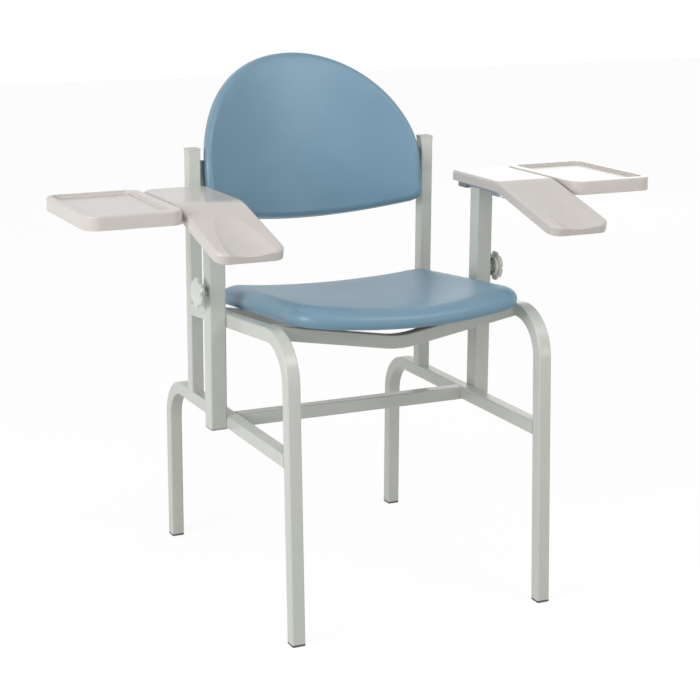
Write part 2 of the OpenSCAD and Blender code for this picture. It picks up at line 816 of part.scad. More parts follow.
module tray() {
    middle = [tray_inner + tray_w / 2, post_y + tray_rear - tray_l / 2, arm_h];
    inner_w = tray_w - 2 * shell_wall;
    inner_l = tray_l - 2 * shell_wall;
    recess_w = tray_w - rim_inner - rim_outer;
    recess_l = tray_l - rim_front - rim_rear;
    floor_t = recess_depth + shell_wall;
    color(shell_colour) difference() {
        union() {
            translate(middle) difference() {
                slab(tray_w, tray_l, tray_corner, tray_t, tray_edge);
                translate([0, 0, -tray_t - cut]) linear_extrude(tray_t + cut - floor_t)
                    rounded_rect(inner_w, inner_l, tray_corner - shell_wall);
            }
            for (at = tray_screws) translate([post_x + at.x, post_y + at.y, strap_top])
                cylinder(d = boss_d, h = arm_skirt - recess_depth - shell_wall / 2, $fn = round_fn);
            translate(middle) tray_ribs(floor_t);
        }
        translate(middle + [(rim_inner - rim_outer) / 2, (rim_front - rim_rear) / 2, -recess_depth])
            mirror([0, 0, 1]) slab(recess_w, recess_l, recess_corner, recess_depth + cut, recess_edge);
        translate([tray_inner - cut, post_y - support_w / 2 - hole_fit, arm_h - tray_t - cut])
            cube([cut + 2 * shell_wall, support_w + 2 * hole_fit, tray_t - arm_skirt + cut + hole_fit]);
        for (at = tray_screws) translate([post_x + at.x, post_y + at.y, strap_top - cut])
            cylinder(d = screw_d, h = screw_bite / 2 + cut, $fn = round_fn);
    }
}

// Stiffening ribs under a tray's floor, down to the level of the support plate
module tray_ribs(floor_t) {
    rib_h = arm_skirt - floor_t - hole_fit;
    for (share = rib_shares)
        translate([-tray_w / 2 + shell_wall / 2, share * tray_l - rib_t / 2, -floor_t - rib_h])
            cube([tray_w - shell_wall, rib_t, rib_h + shell_wall / 2]);
    translate([-rib_t / 2, -tray_l / 2 + shell_wall / 2, -floor_t - rib_h])
        cube([rib_t, tray_l - shell_wall, rib_h + shell_wall / 2]);
}

// Screw with its shank up and its rounded head under z = 0
module pan_screw(d, head_d, head_t, l) {
    edge = head_t / 2;
    cylinder(d = d, h = l, $fn = round_fn);
    rotate([180, 0, 0]) rotate_extrude($fn = round_fn) polygon(concat(
        [[0, 0], [head_d / 2, 0]],
        [for (a = [0 : 15 : 90]) [head_d / 2 - edge + edge * cos(a), head_t - edge + edge * sin(a)]],
        [[0, head_t]]
    ));
}

module armrest_screws() {
    color(steel) {
        for (at = pad_screws) translate([post_x + at.x, post_y + at.y, arm_tube_top - pad_t])
            pan_screw(screw_d, screw_head_d, screw_head_t, pad_t + strap_t + screw_bite - tip_gap);
        for (at = outer_screws) translate([post_x + at.x, post_y + at.y, arm_tube_top])
            pan_screw(screw_d, screw_head_d, screw_head_t, strap_t + screw_bite - tip_gap);
    }
}

module tray_screw_set() {
    color(steel) for (at = tray_screws) translate([post_x + at.x, post_y + at.y, arm_tube_top])
        pan_screw(screw_d, screw_head_d, screw_head_t, strap_t + screw_bite / 2 - tip_gap);
}

// Half outline of a pad: from the middle of its bowed edge round a corner to its straight side
function bowed_edge(half_w, edge, bow_r, corner_r) =
    let (middle = edge + bow_r,
         turn = asin((half_w - corner_r) / (bow_r - corner_r)),
         corner_y = middle - (bow_r - corner_r) * cos(turn))
    concat(
        [for (i = [0 : bow_steps - 1]) let (a = turn * i / bow_steps)
            [bow_r * sin(a), middle - bow_r * cos(a)]],
        [for (i = [0 : corner_steps]) let (a = turn + (90 - turn) * i / corner_steps)
            [half_w - corner_r + corner_r * sin(a), corner_y - corner_r * cos(a)]]
    );

// Whole outline from its right half, whose first and last points lie in the middle
function both_halves(half) =
    concat(half, [for (i = [len(half) - 2 : -1 : 1]) [-half[i].x, half[i].y]]);

// Outline of the seat pad in plan, drawn in by an inset
function seat_outline(inset) =
    let (half_w = seat_w / 2 - inset,
         rear = seat_l - seat_front - inset,
         front = bowed_edge(half_w, -seat_front + inset, seat_front_r, seat_corner - inset / 2),
         side_y = front[len(front) - 1].y,
         side_end = rear - seat_rear_corner)
    both_halves(concat(
        front,
        [for (i = [1 : side_steps - 1]) [half_w, side_y + (side_end - side_y) * i / side_steps]],
        [for (i = [0 : corner_steps]) let (a = 90 * i / corner_steps)
            [half_w - seat_rear_corner * (1 - cos(a)), side_end + seat_rear_corner * sin(a)]],
        [for (share = seat_rear_edge_shares) [share * (half_w - seat_rear_corner), rear]]
    ));

// Height of the seat board's under face across the seat
function seat_under(x) = seat_axis_z - sqrt(pow(seat_curve_r, 2) - pow(x, 2));

// Height of the pad's top face: dished across, with a rear roll and a front that falls away
function seat_top(p) =
    let (across = min(1, pow(p.x / (seat_w / 2 - seat_crest_inset), 2)),
         rear = max(0, (p.y - seat_middle_y) / (seat_l - seat_front - seat_middle_y)),
         low = seat_gap - seat_dish + seat_board_t + seat_pad_t,
         high = seat_gap + seat_crown)
    low + (high - low) * (1 - (1 - across) * (1 - seat_rear_rise_share * pow(min(1, rear), 2)));

// A ring of the pad, at a height over the lower edge
function seat_ring(inset, height) = [for (p = seat_outline(inset)) [p.x, p.y, seat_under(p.x) + height]];

// A ring of the pad's side, at a share of the way up to the crest
function seat_side_ring(inset, share) =
    let (edge = seat_outline(inset), crest = seat_outline(seat_crest_inset))
    [for (i = [0 : len(edge) - 1])
        let (crest_h = seat_top(crest[i]) - seat_under(crest[i].x))
        [edge[i].x, edge[i].y, seat_under(edge[i].x) + share * crest_h]];

// A point of an outline, drawn in to a share of its distance from the pad's middle
function inward(p, share, middle) = [p.x * share, p.y * share + (1 - share) * middle];

// Rings on the pad's top face and on its under face over the board
function seat_top_ring(share) =
    [for (p = seat_outline(seat_crest_inset))
        let (q = inward(p, share, seat_middle_y)) [q.x, q.y, seat_top(q)]];

function seat_under_ring(inset, share, height) =
    [for (p = seat_outline(inset))
        let (q = inward(p, share, seat_middle_y)) [q.x, q.y, seat_under(q.x) + height]];

// Closed solid through a stack of rings of equally many points, ended by two middle points
module ring_solid(rings, first, last) {
    n = len(rings[0]);
    m = len(rings);
    points = concat([first], [for (ring = rings) each ring], [last]);
    function at(i, j) = 1 + i * n + j % n;
    polyhedron(points, concat(
        [for (j = [0 : n - 1]) [at(0, j), at(0, j + 1), 0]],
        [for (i = [0 : m - 2], j = [0 : n - 1]) [at(i, j), at(i + 1, j), at(i + 1, j + 1)]],
        [for (i = [0 : m - 2], j = [0 : n - 1]) [at(i, j), at(i + 1, j + 1), at(i, j + 1)]],
        [for (j = [0 : n - 1]) [at(m - 1, j + 1), at(m - 1, j), m * n + 1]]
    ));
}

module seat_cushion() {
    over_board = seat_board_t + pad_fit;
    inside = seat_wrap - pad_fit;
    color(cover_colour) seat_frame() ring_solid(
        concat(
            [for (share = seat_under_shares) seat_under_ring(inside, share, over_board)],
            [seat_ring(inside, over_board), seat_ring(inside, 0)],
            [for (a = seat_swell_angles)
                seat_side_ring(-seat_bulge * cos(a), seat_widest_share * (1 - sin(a)))],
            [for (a = seat_turn_angles) seat_side_ring(
                seat_crest_inset - (seat_crest_inset + seat_bulge) * cos(a),
                seat_widest_share + (1 - seat_widest_share) * sin(a)
            )],
            [for (share = seat_top_shares) seat_top_ring(share)]
        ),
        [0, seat_middle_y, seat_under(0) + over_board],
        [0, seat_middle_y, seat_top([0, seat_middle_y])]
    );
}

// Cylinder along the seat, for the board's two faces
module seat_cylinder(r) {
    translate([0, -seat_l, seat_axis_z]) rotate([-90, 0, 0])
        cylinder(r = r, h = 3 * seat_l, $fn = 8 * bend_fn);
}

module seat_board() {
    low = seat_gap - seat_dish - cut;
    color(plywood) seat_frame() difference() {
        intersection() {
            translate([0, 0, low]) linear_extrude(seat_dish + seat_board_t + 2 * cut)
                polygon(seat_outline(seat_wrap));
            seat_cylinder(seat_curve_r);
        }
        seat_cylinder(seat_curve_r - seat_board_t);
        for (y = [front_bow_y, rear_bow_y]) on_bow(y) {
            cylinder(d = tee_barrel_d + 2 * stem_fit, h = trim, $fn = round_fn);
            translate([0, 0, tee_flange_z])
                cylinder(d = tee_flange_d + 2 * stem_fit, h = trim, $fn = round_fn);
        }
    }
}

// Tee nuts in the board: a barrel up through it and a flange let into its top face
module seat_tee_nuts() {
    color(steel) seat_frame() for (y = [front_bow_y, rear_bow_y]) on_bow(y) difference() {
        union() {
            translate([0, 0, spacer_h + tee_sink])
                cylinder(d = tee_barrel_d, h = tee_flange_z - spacer_h, $fn = round_fn);
            translate([0, 0, tee_flange_z]) cylinder(d = tee_flange_d, h = tee_flange_t, $fn = round_fn);
        }
        cylinder(d = seat_bolt_d + 2 * thread_fit, h = trim, $fn = round_fn);
    }
}

module seat_spacers() {
    color(plastic) seat_frame() for (y = [front_bow_y, rear_bow_y]) difference() {
        on_bow(y) difference() {
            cylinder(d = tube, h = 2 * spacer_h, $fn = round_fn);
            translate([0, 0, -cut]) cylinder(d = seat_bolt_d + 2 * hole_fit, h = trim, $fn = round_fn);
        }
        seat_cylinder(seat_curve_r + seat_fit);
    }
}

module seat_bolts() {
    bolt_l = tube_wall + spacer_h + seat_board_t * thread_share;
    color(steel) seat_frame() for (y = [front_bow_y, rear_bow_y]) on_bow(y)
        translate([0, 0, -tube_wall])
            pan_screw(seat_bolt_d, 2 * seat_bolt_d, seat_bolt_d * bolt_head_share, bolt_l);
}

// Outline of the back seen from the front, drawn in by an inset
function back_outline(inset) =
    let (half_w = back_w / 2 - inset,
         lower = bowed_edge(half_w, inset, back_bow_r, back_corner),
         arch_h = back_l - inset - back_side_h)
    both_halves(concat(
        lower,
        [for (i = [0 : arch_steps]) let (a = 90 * i / arch_steps)
            [half_w * cos(a), back_side_h + arch_h * sin(a)]]
    ));

// How far the back's rear face lies in front of its middle, across the back
function back_forward(x) = back_curve_r - sqrt(pow(back_curve_r, 2) - pow(x, 2));

// A ring of the back pad, at a depth in front of the rear face
function back_ring(inset, depth) = [for (p = back_outline(inset)) [p.x, -back_forward(p.x) - depth, p.y]];

// A ring inside that one, drawn in to a share of its distance from the middle
function back_inner_ring(inset, share, depth) =
    [for (p = back_outline(inset))
        let (q = inward(p, share, back_middle_z)) [q.x, -back_forward(q.x) - depth, q.y]];

// Sets children in the back's own frame: its origin is the middle of the rear face's lower edge,
// y runs to the rear and z up along the lean
module back_frame() {
    translate([0, upright_front + back_y, back_h]) rotate([-back_lean, 0, 0]) children();
}

module back_cushion() {
    over_board = back_board_t + pad_fit;
    inside = back_wrap - pad_fit;
    color(cover_colour) back_frame() ring_solid(
        concat(
            [for (share = back_board_shares) back_inner_ring(inside, share, over_board)],
            [back_ring(inside, over_board), back_ring(inside, 0)],
            [for (a = back_rear_angles)
                back_ring(back_rear_round * (1 - sin(a)), back_rear_round * (1 - cos(a)))],
            [for (a = back_round_angles)
                back_ring(back_round * (1 - cos(a)), back_t - back_round * (1 - sin(a)))],
            [for (share = back_front_shares)
                back_inner_ring(back_round, share, back_t + back_belly * (1 - pow(share, 2)))]
        ),
        [0, -over_board, back_middle_z],
        [0, -back_t - back_belly, back_middle_z]
    );
}

// Cylinder up the back, for the board's two faces
module back_cylinder(r) {
    translate([0, -back_curve_r, -back_l]) cylinder(r = r, h = 3 * back_l, $fn = 2 * bend_fn);
}

module back_board() {
    color(plywood) back_frame() difference() {
        intersection() {
            translate([0, cut, 0]) rotate([90, 0, 0]) linear_extrude(back_curve + back_board_t + 2 * cut)
                polygon(back_outline(back_wrap));
            back_cylinder(back_curve_r);
        }
        translate([0, -back_board_t, 0]) back_cylinder(back_curve_r);
        back_screw_places() translate([0, 0, -cut])
            cylinder(d = back_screw_d, h = back_board_t * thread_share + tip_gap + cut, $fn = round_fn);
    }
}

// Sets children at each screw of the back, z running into the board from its rear face
module back_screw_places() {
    turn = asin(back_screw_x / back_curve_r);
    lower = back_strap_z + back_screw_inset;
    upper = back_strap_z + back_strap_h - back_screw_inset;
    for (side = [-1, 1], z = [lower, upper])
        translate([0, -back_curve_r, z]) rotate([0, 0, -side * turn])
            translate([0, back_curve_r, 0]) rotate([90, 0, 0]) children();
}

// Steel strap behind the board: rolled to the board's curve, then straight to the upright
module back_strap() {
    bend_turn = asin(back_strap_bend / back_curve_r);
    in_turn = asin(back_strap_in / back_curve_r);
    r = back_curve_r + seat_fit;
    color(paint) back_frame() difference() {
        intersection() {
            translate([0, -back_curve_r, back_strap_z]) linear_extrude(back_strap_h) {
                intersection() {
                    difference() {
                        circle(r + back_strap_t, $fn = 2 * bend_fn);
                        circle(r, $fn = 2 * bend_fn);
                    }
                    polygon([
                        [0, 0],
                        2 * r * [sin(in_turn), cos(in_turn)],
                        2 * r * [sin(bend_turn), cos(bend_turn)]
                    ]);
                }
                rotate(-bend_turn) translate([0, r]) square([back_w / 2, back_strap_t]);
            }
            translate([0, -back_w, 0]) cube([inner_face, 2 * back_w, back_l]);
        }
        back_screw_places() translate([0, 0, -back_strap_t - cut])
            cylinder(d = back_screw_d + 2 * hole_fit, h = back_strap_t + 2 * cut, $fn = round_fn);
    }
}

module back_screws() {
    screw_l = back_strap_t + back_board_t * thread_share;
    color(steel) back_frame() back_screw_places() translate([0, 0, -back_strap_t - seat_fit])
        pan_screw(back_screw_d, back_screw_head_d, screw_head_t, screw_l);
}

on_side("left") front_leg();  // left_front_leg
on_side("right") front_leg();  // right_front_leg
on_side("left") rear_leg();  // left_rear_leg
on_side("right") rear_leg();  // right_rear_leg
on_side("left") upright();  // left_upright
on_side("right") upright();  // right_upright
cross_bar();
front_bow();
rear_bow();
on_side("left") front_foot();  // left_front_foot
on_side("right") front_foot();  // right_front_foot
on_side("left") rear_foot();  // left_rear_foot
on_side("right") rear_foot();  // right_rear_foot
on_side("left") upright_cap();  // left_upright_cap
on_side("right") upright_cap();  // right_upright_cap
on_side("left") arm_sleeve();  // left_sleeve
on_side("right") arm_sleeve();  // right_sleeve
on_side("left") sleeve_plug();  // left_sleeve_plug
on_side("right") sleeve_plug();  // right_sleeve_plug
on_side("left") clamp_nut();  // left_clamp_nut
on_side("right") clamp_nut();  // right_clamp_nut
on_side("left") back_strap();  // left_back_strap
on_side("right") back_strap();  // right_back_strap
seat_board();
seat_cushion();
seat_spacers();
seat_bolts();
seat_tee_nuts();
back_board();
back_cushion();
back_screws();
on_side("left") arm_tube();  // left_arm_tube
on_side("right") arm_tube();  // right_arm_tube
on_side("left") tube_plug();  // left_tube_plug
on_side("right") tube_plug();  // right_tube_plug
on_side("left") arm_bracket();  // left_arm_bracket
on_side("right") arm_bracket();  // right_arm_bracket
on_side("left") tray_support();  // left_tray_support
on_side("right") tray_support();  // right_tray_support
on_side("left") armrest();  // left_armrest
on_side("right") armrest();  // right_armrest
on_side("left") tray();  // left_tray
on_side("right") tray();  // right_tray
on_side("left") armrest_screws();  // left_armrest_screws
on_side("right") armrest_screws();  // right_armrest_screws
on_side("left") tray_screw_set();  // left_tray_screws
on_side("right") tray_screw_set();  // right_tray_screws
on_side("left") clamp_knob();  // left_clamp_knob
on_side("right") clamp_knob();  // right_clamp_knob
on_side("left") clamp_stud();  // left_clamp_stud
on_side("right") clamp_stud();  // right_clamp_stud
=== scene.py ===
# %% [markdown]
# # Dressing a blood-draw chair
# The chair's metal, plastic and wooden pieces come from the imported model, and each of them keeps
# its place and its mesh. This lesson gives every piece a finish, welds the frame's joints, sews the
# two cushions with their hems and staples, and sets up a plain studio. Lengths are in metres,
# written as so many MM. +Z is up, and the sitter faces -Y.

import json
import math

import bmesh
import bpy
from mathutils import Matrix, Vector


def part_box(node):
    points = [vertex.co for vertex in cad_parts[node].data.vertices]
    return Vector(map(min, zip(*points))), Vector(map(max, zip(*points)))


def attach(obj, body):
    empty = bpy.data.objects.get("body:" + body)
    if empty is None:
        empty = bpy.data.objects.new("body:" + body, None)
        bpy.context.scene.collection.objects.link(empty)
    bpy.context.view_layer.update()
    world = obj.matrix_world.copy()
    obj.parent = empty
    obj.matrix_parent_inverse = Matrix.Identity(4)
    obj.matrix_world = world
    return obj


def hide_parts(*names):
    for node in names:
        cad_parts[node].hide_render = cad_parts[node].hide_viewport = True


MM = 0.001

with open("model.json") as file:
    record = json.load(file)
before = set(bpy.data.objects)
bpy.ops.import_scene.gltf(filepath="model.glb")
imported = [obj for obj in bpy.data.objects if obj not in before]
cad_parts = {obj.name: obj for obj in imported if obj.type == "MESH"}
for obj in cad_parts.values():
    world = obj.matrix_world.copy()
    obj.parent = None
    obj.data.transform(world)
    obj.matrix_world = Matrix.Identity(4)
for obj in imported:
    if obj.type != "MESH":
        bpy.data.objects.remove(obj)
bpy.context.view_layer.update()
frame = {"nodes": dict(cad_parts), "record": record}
print("pieces in the frame:", len(frame["nodes"]))

# %% [markdown]
# ## Writing a finish as sums
# A procedural finish is mostly arithmetic: a little of this noise, less of that mask. Wiring each
# Math node by hand would hide the idea, so one small class stands for a value that varies over the
# surface. Adding or multiplying two such values adds the Math node that does it.

# %% A value that varies over a surface
class Field:
    """One output of a node. Sums, differences and products of fields add Math nodes."""

    def __init__(self, wiring, socket):
        self.wiring, self.socket = wiring, socket

    def __add__(self, other):
        return self.wiring.maths("ADD", self, other)

    def __sub__(self, other):
        return self.wiring.maths("SUBTRACT", self, other)

    def __rsub__(self, other):
        return self.wiring.maths("SUBTRACT", other, self)

    def __mul__(self, other):
        return self.wiring.maths("MULTIPLY", self, other)

    __radd__ = __add__
    __rmul__ = __mul__


print("a field can be added, subtracted and multiplied, and 1 - field works as well")

# %% [markdown]
# Every node comes from one method, which takes the node's type, its settings and the values of its
# sockets. The same class serves the materials and the world, because both are trees of nodes.

# %% A tree of nodes
class Wiring:
    def __init__(self, tree):
        self.tree = tree

    def node(self, kind, settings=None, inputs=None, out=0):
        """Make a node, with its settings first, and return one of its outputs."""
        made = self.tree.nodes.new(kind)
        for name, value in (settings or {}).items():
            setattr(made, name, value)
        for name, value in (inputs or {}).items():
            self.plug(made.inputs[name], value)
        return Field(self, made.outputs[out])

    def plug(self, socket, value):
        """Link a field to a socket, or write a plain value on it."""
        if isinstance(value, Field):
            self.tree.links.new(value.socket, socket)
        else:
            socket.default_value = value

    def maths(self, operation, first, second):
        return self.node("ShaderNodeMath", {"operation": operation}, {0: first, 1: second})

    def between(self, value, low, high):
        """0 where value is under low, 1 where it is over high, and a straight rise between them."""
        return self.node("ShaderNodeMapRange", {"clamp": True},
                         {"Value": value, "From Min": low, "From Max": high})


print("every node comes from Wiring.node")

# %% [markdown]
# A finish owns one material. Values that are the same everywhere are set on the shader's own
# sockets, and fields are linked to them. Noise is measured by the size of its grains, because a
# grain of 1.5 mm says more to a reader than a scale of 667.

# %% A finish and its patterns
class Finish(Wiring):
    def __init__(self, name, **constants):
        self.material = bpy.data.materials.new(name)
        self.material.use_nodes = True
        super().__init__(self.material.node_tree)
        self.shader = self.tree.nodes["Principled BSDF"]
        self.place = self.node("ShaderNodeTexCoord", out="Object")
        self.surface(**constants)

    def surface(self, **values):
        """Set the shader's sockets, named with _ for each space."""
        for socket, value in values.items():
            self.plug(self.shader.inputs[socket.replace("_", " ")], value)
        return self

    def stretched(self, sx, sy, sz):
        """Places to look a pattern up at; a factor over 1 makes it finer along that axis."""
        return self.node("ShaderNodeVectorMath", {"operation": "MULTIPLY"},
                         {0: self.place, 1: (sx, sy, sz)})

    def noise(self, grain, detail=2.0, rough=0.5, where=None, out=0):
        return self.node("ShaderNodeTexNoise", {"noise_dimensions": "3D"},
                         {"Vector": where or self.place, "Scale": 1 / grain, "Detail": detail,
                          "Roughness": rough}, out)

    def cells(self, grain, feature="F1", where=None):
        return self.node("ShaderNodeTexVoronoi", {"feature": feature},
                         {"Vector": where or self.place, "Scale": 1 / grain}, out="Distance")

    def mix(self, share, colour_a, colour_b):
        """Colours in a Mix node use sockets 6 and 7 and output 2; the others are for numbers."""
        return self.node("ShaderNodeMix", {"data_type": "RGBA"},
                         {0: share, 6: colour_a, 7: colour_b}, out=2)

    def bump(self, height, depth, under=None):
        """A relief of this depth, laid over the one that is under it."""
        inputs = {"Height": height, "Distance": depth, "Strength": 1.0}
        if under is not None:
            inputs["Normal"] = under
        return self.node("ShaderNodeBump", None, inputs)

    def height_above_floor(self):
        return self.node("ShaderNodeSeparateXYZ", None, {"Vector": self.place}, out="Z")


def srgb(red, green, blue):
    """A colour as a screen writes it, 0 to 255, turned into the light that it stands for."""
    return tuple(((c / 255 + 0.055) / 1.055) ** 2.4 for c in (red, green, blue)) + (1.0,)


print("one finish, one material")

# %% [markdown]
# ## Powder-coated steel
# The frame is square steel tube with a light grey-green powder coat. One flat colour with one
# roughness would look like plastic. Real powder melts into a skin that is never quite flat, so a
# broad, shallow ripple breaks up its reflections (orange peel), with a fine speck on top. The legs
# are scuffed near the floor by shoes and mops, in marks that lie flat, so that noise is squeezed
# in height.

# %% Powder coat
PEEL, PEEL_DEPTH, SPECK, SPECK_DEPTH = 4 * MM, 0.03 * MM, 0.6 * MM, 0.01 * MM
PATCH, SCUFF, SCUFF_SQUEEZE = 90 * MM, 12 * MM, 6.0
SCUFFED_UNDER, CLEAN_OVER = 20 * MM, 160 * MM
SCUFF_EDGE = 0.60, 0.72  # the noise levels between which a mark fades in
GREY_GREEN, PALE_GREEN, SCUFF_GREY = srgb(194, 197, 189), srgb(202, 205, 198), srgb(150, 150, 146)


def powder_coat():
    f = Finish("powder_coat", Coat_Weight=0.12, Coat_Roughness=0.25)
    peel, speck, patches = f.noise(PEEL, 1.0), f.noise(SPECK), f.noise(PATCH, 3.0)
    marks = f.noise(SCUFF, 4.0, 0.7, f.stretched(1.0, 1.0, SCUFF_SQUEEZE))
    near_floor = 1 - f.between(f.height_above_floor(), SCUFFED_UNDER, CLEAN_OVER)
    scuffed = f.between(marks, *SCUFF_EDGE) * near_floor
    return f.surface(
        Base_Color=f.mix(scuffed * 0.35, f.mix(patches, GREY_GREEN, PALE_GREEN), SCUFF_GREY),
        Roughness=0.27 + patches * 0.015 + scuffed * 0.25,
        Normal=f.bump(speck, SPECK_DEPTH, f.bump(peel, PEEL_DEPTH)),
    )


powder = powder_coat()
print("powder coat:", len(powder.tree.nodes), "nodes")

# %% [markdown]
# ## Moulded plastic
# The armrests and trays are moulded in a warm light grey with a polished top. Plastic shrinks a
# little as it cools, which leaves a faint, slow waviness in the gloss. Hands and bottles add fine
# scratches. Cut into the relief they would glitter, and they should show only where light grazes
# them, so they go into the roughness.

# %% Shells and knobs
SINK, SINK_DEPTH, TEXTURE, TEXTURE_DEPTH = 50 * MM, 0.15 * MM, 0.9 * MM, 0.01 * MM
SCRATCH, SCRATCH_STRETCH = 6 * MM, 0.06
FORE_AFT_EDGE, SIDEWAYS_EDGE = (0.68, 0.80), (0.70, 0.82)


def moulded(name, light, dark, gloss, scratch_share):
    f = Finish(name, Specular_IOR_Level=0.4)
    sink, texture = f.noise(SINK, 1.0), f.noise(TEXTURE)
    fore_aft = f.noise(SCRATCH, 3.0, 0.6, f.stretched(1.0, SCRATCH_STRETCH, 1.0))
    sideways = f.noise(SCRATCH, 3.0, 0.6, f.stretched(SCRATCH_STRETCH, 1.0, 1.0))
    scratches = f.between(fore_aft, *FORE_AFT_EDGE) + f.between(sideways, *SIDEWAYS_EDGE)
    return f.surface(
        Base_Color=f.mix(sink, light, dark),
        Roughness=gloss + texture * 0.03 + scratches * scratch_share,
        Normal=f.bump(texture, TEXTURE_DEPTH, f.bump(sink, SINK_DEPTH)),
    )


shell = moulded("shell_plastic", srgb(205, 199, 193), srgb(201, 195, 189),
                gloss=0.16, scratch_share=0.025)
knob_grey = moulded("knob_plastic", srgb(214, 217, 211), srgb(208, 211, 204),
                    gloss=0.2, scratch_share=0.04)
print("moulded plastics:", shell.material.name, knob_grey.material.name)

# %% [markdown]
# ## Vinyl
# The cushions are covered in smooth blue-grey vinyl, stretched over foam. Its skin has a shallow
# leather grain: small cells with rounded tops and narrow valleys between them. Plain noise has no
# valleys, so a cell pattern makes them, and a soft noise bends them out of straight. The valleys
# are painted a darker blue as painted shade. The dye is a touch uneven, which keeps the blue alive.

# %% Cover of the cushions
CELL, CELL_DEPTH, VALLEY = 1.6 * MM, 0.04 * MM, 0.22
BEND, BEND_REACH = 2.381 * MM, 0.9 * MM
PORE, PORE_DEPTH, CLOUD = 0.4 * MM, 0.012 * MM, 60 * MM
# The valley colour is painted shade in the grain's valleys.
DEEP_BLUE, SOFT_BLUE, VALLEY_SHADE_BLUE = srgb(108, 143, 164), srgb(115, 149, 169), srgb(74, 108, 132)


def vinyl_cover():
    f = Finish("blue_vinyl")
    bend = f.noise(BEND, out="Color")
    bent = f.node("ShaderNodeVectorMath", {"operation": "MULTIPLY_ADD"},
                  {0: bend, 1: (BEND_REACH,) * 3, 2: f.place})
    tops = f.between(f.cells(CELL, "DISTANCE_TO_EDGE", bent), 0.0, VALLEY)
    pores, cloudy = f.noise(PORE, 1.0), f.noise(CLOUD, 3.0, 0.55)
    return f.surface(
        # painted shade: the valleys between the cells are mixed towards a darker blue
        Base_Color=f.mix((1 - tops) * 0.10, f.mix(cloudy, DEEP_BLUE, SOFT_BLUE), VALLEY_SHADE_BLUE),
        Roughness=0.34 + cloudy * 0.05 - tops * 0.03,
        Normal=f.bump(pores, PORE_DEPTH, f.bump(tops, CELL_DEPTH)),
    )


vinyl = vinyl_cover()
print("vinyl:", len(vinyl.tree.nodes), "nodes")

# %% [markdown]
# ## Plywood
# The boards under the cushions are moulded plywood, coloured nearly black as painted shade for
# the shade under the seat, which shows as a dark line there. The wood still shows through it.
# Blender's wave pattern could draw the grain, but it comes out too regular, so the grain is noise,
# squeezed across the board.

# %% Boards
BAND, BAND_SQUEEZE, FIBRE, FIBRE_SQUEEZE, FIBRE_DEPTH = 90 * MM, 14.0, 20 * MM, 30.0, 0.06 * MM
# The two dark colours are painted shade; the bare fibre colour is the wood's own grain.
SHADE_BLACK, SHADE_GREY_BAND, BARE_FIBRE = srgb(30, 32, 38), srgb(42, 43, 48), srgb(66, 60, 56)


def shade_dark_plywood(name, along):
    """Plywood coloured dark as painted shade, with its grain along one axis, 1 for Y or 2 for Z."""
    f = Finish(name, Coat_Weight=0.15, Coat_Roughness=0.3)

    def squeezed(factor):
        return f.stretched(*(1.0 if axis == along else factor for axis in range(3)))

    bands = f.noise(BAND, 4.0, 0.6, squeezed(BAND_SQUEEZE))
    fibres = f.noise(FIBRE, 3.0, 0.7, squeezed(FIBRE_SQUEEZE))
    return f.surface(
        # painted shade: the board's base colour is nearly black, with the grain mixed in
        Base_Color=f.mix(fibres * 0.4, f.mix(bands, SHADE_BLACK, SHADE_GREY_BAND), BARE_FIBRE),
        Roughness=0.48 + fibres * 0.14,
        Normal=f.bump(fibres, FIBRE_DEPTH),
    )


seat_ply, back_ply = shade_dark_plywood("seat_plywood", along=1), shade_dark_plywood("back_plywood", along=2)
print("plywood:", seat_ply.material.name, back_ply.material.name)

# %% [markdown]
# ## Zinc and dull plastic
# The screws, bolts and arm brackets are zinc-plated, and the feet, caps and plugs are dull moulded
# plastic. They are small, so each gets one pattern for its colour and one for its gloss.

# %% Fasteners, feet and caps
SPANGLE, ZINC_GRAIN, ZINC_DEPTH = 2.2 * MM, 0.5 * MM, 0.01 * MM
PEBBLE, PEBBLE_DEPTH, DULL_CLOUD = 0.7 * MM, 0.04 * MM, 20 * MM


def zinc_plate():
    f = Finish("zinc_plate", Metallic=1.0)
    spangle, grain = f.cells(SPANGLE), f.noise(ZINC_GRAIN)
    return f.surface(
        Base_Color=f.mix(spangle, srgb(196, 198, 203), srgb(172, 175, 182)),
        Roughness=0.28 + grain * 0.16,
        Normal=f.bump(grain, ZINC_DEPTH),
    )


def dull_plastic(name, light, dark):
    f = Finish(name)
    pebble, cloudy = f.noise(PEBBLE), f.noise(DULL_CLOUD)
    return f.surface(
        Base_Color=f.mix(cloudy, light, dark),
        Roughness=0.55 + pebble * 0.15,
        Normal=f.bump(pebble, PEBBLE_DEPTH),
    )


zinc = zinc_plate()
foot_grey = dull_plastic("foot_plastic", srgb(92, 94, 93), srgb(82, 84, 83))
cap_grey = dull_plastic("cap_plastic", srgb(201, 202, 193), srgb(193, 194, 185))
plug_grey = dull_plastic("plug_plastic", srgb(168, 170, 164), srgb(160, 162, 156))
print("small finishes:", [f.material.name for f in (zinc, foot_grey, cap_grey, plug_grey)])

# %% [markdown]
# ## Finishes on the frame's pieces
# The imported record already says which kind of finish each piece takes. One table turns the record's
# slots into the finishes above, so no piece is forgotten. A few pieces then differ from their slot:
# the grain of the seat's board runs fore and aft, and the photo shows bright zinc on the strips
# under the armrests and a pale plug in each arm sleeve.

# %% Give each piece its finish
by_slot = {
    "frame_paint": powder, "shell_plastic": shell, "knob_plastic": knob_grey, "vinyl": vinyl,
    "foot_plastic": foot_grey, "cap_plastic": cap_grey, "plywood": back_ply, "steel": zinc,
}
own_finish = {"seat_board": seat_ply}
for side in ("left", "right"):
    own_finish[f"{side}_sleeve_plug"] = plug_grey
    own_finish[f"{side}_arm_bracket"] = own_finish[f"{side}_tray_support"] = zinc
for part in frame["record"]["subparts"]:
    finish = own_finish.get(part["node"], by_slot[part["material_slot"]])
    mesh = frame["nodes"][part["node"]].data
    mesh.materials.clear()
    mesh.materials.append(finish.material)

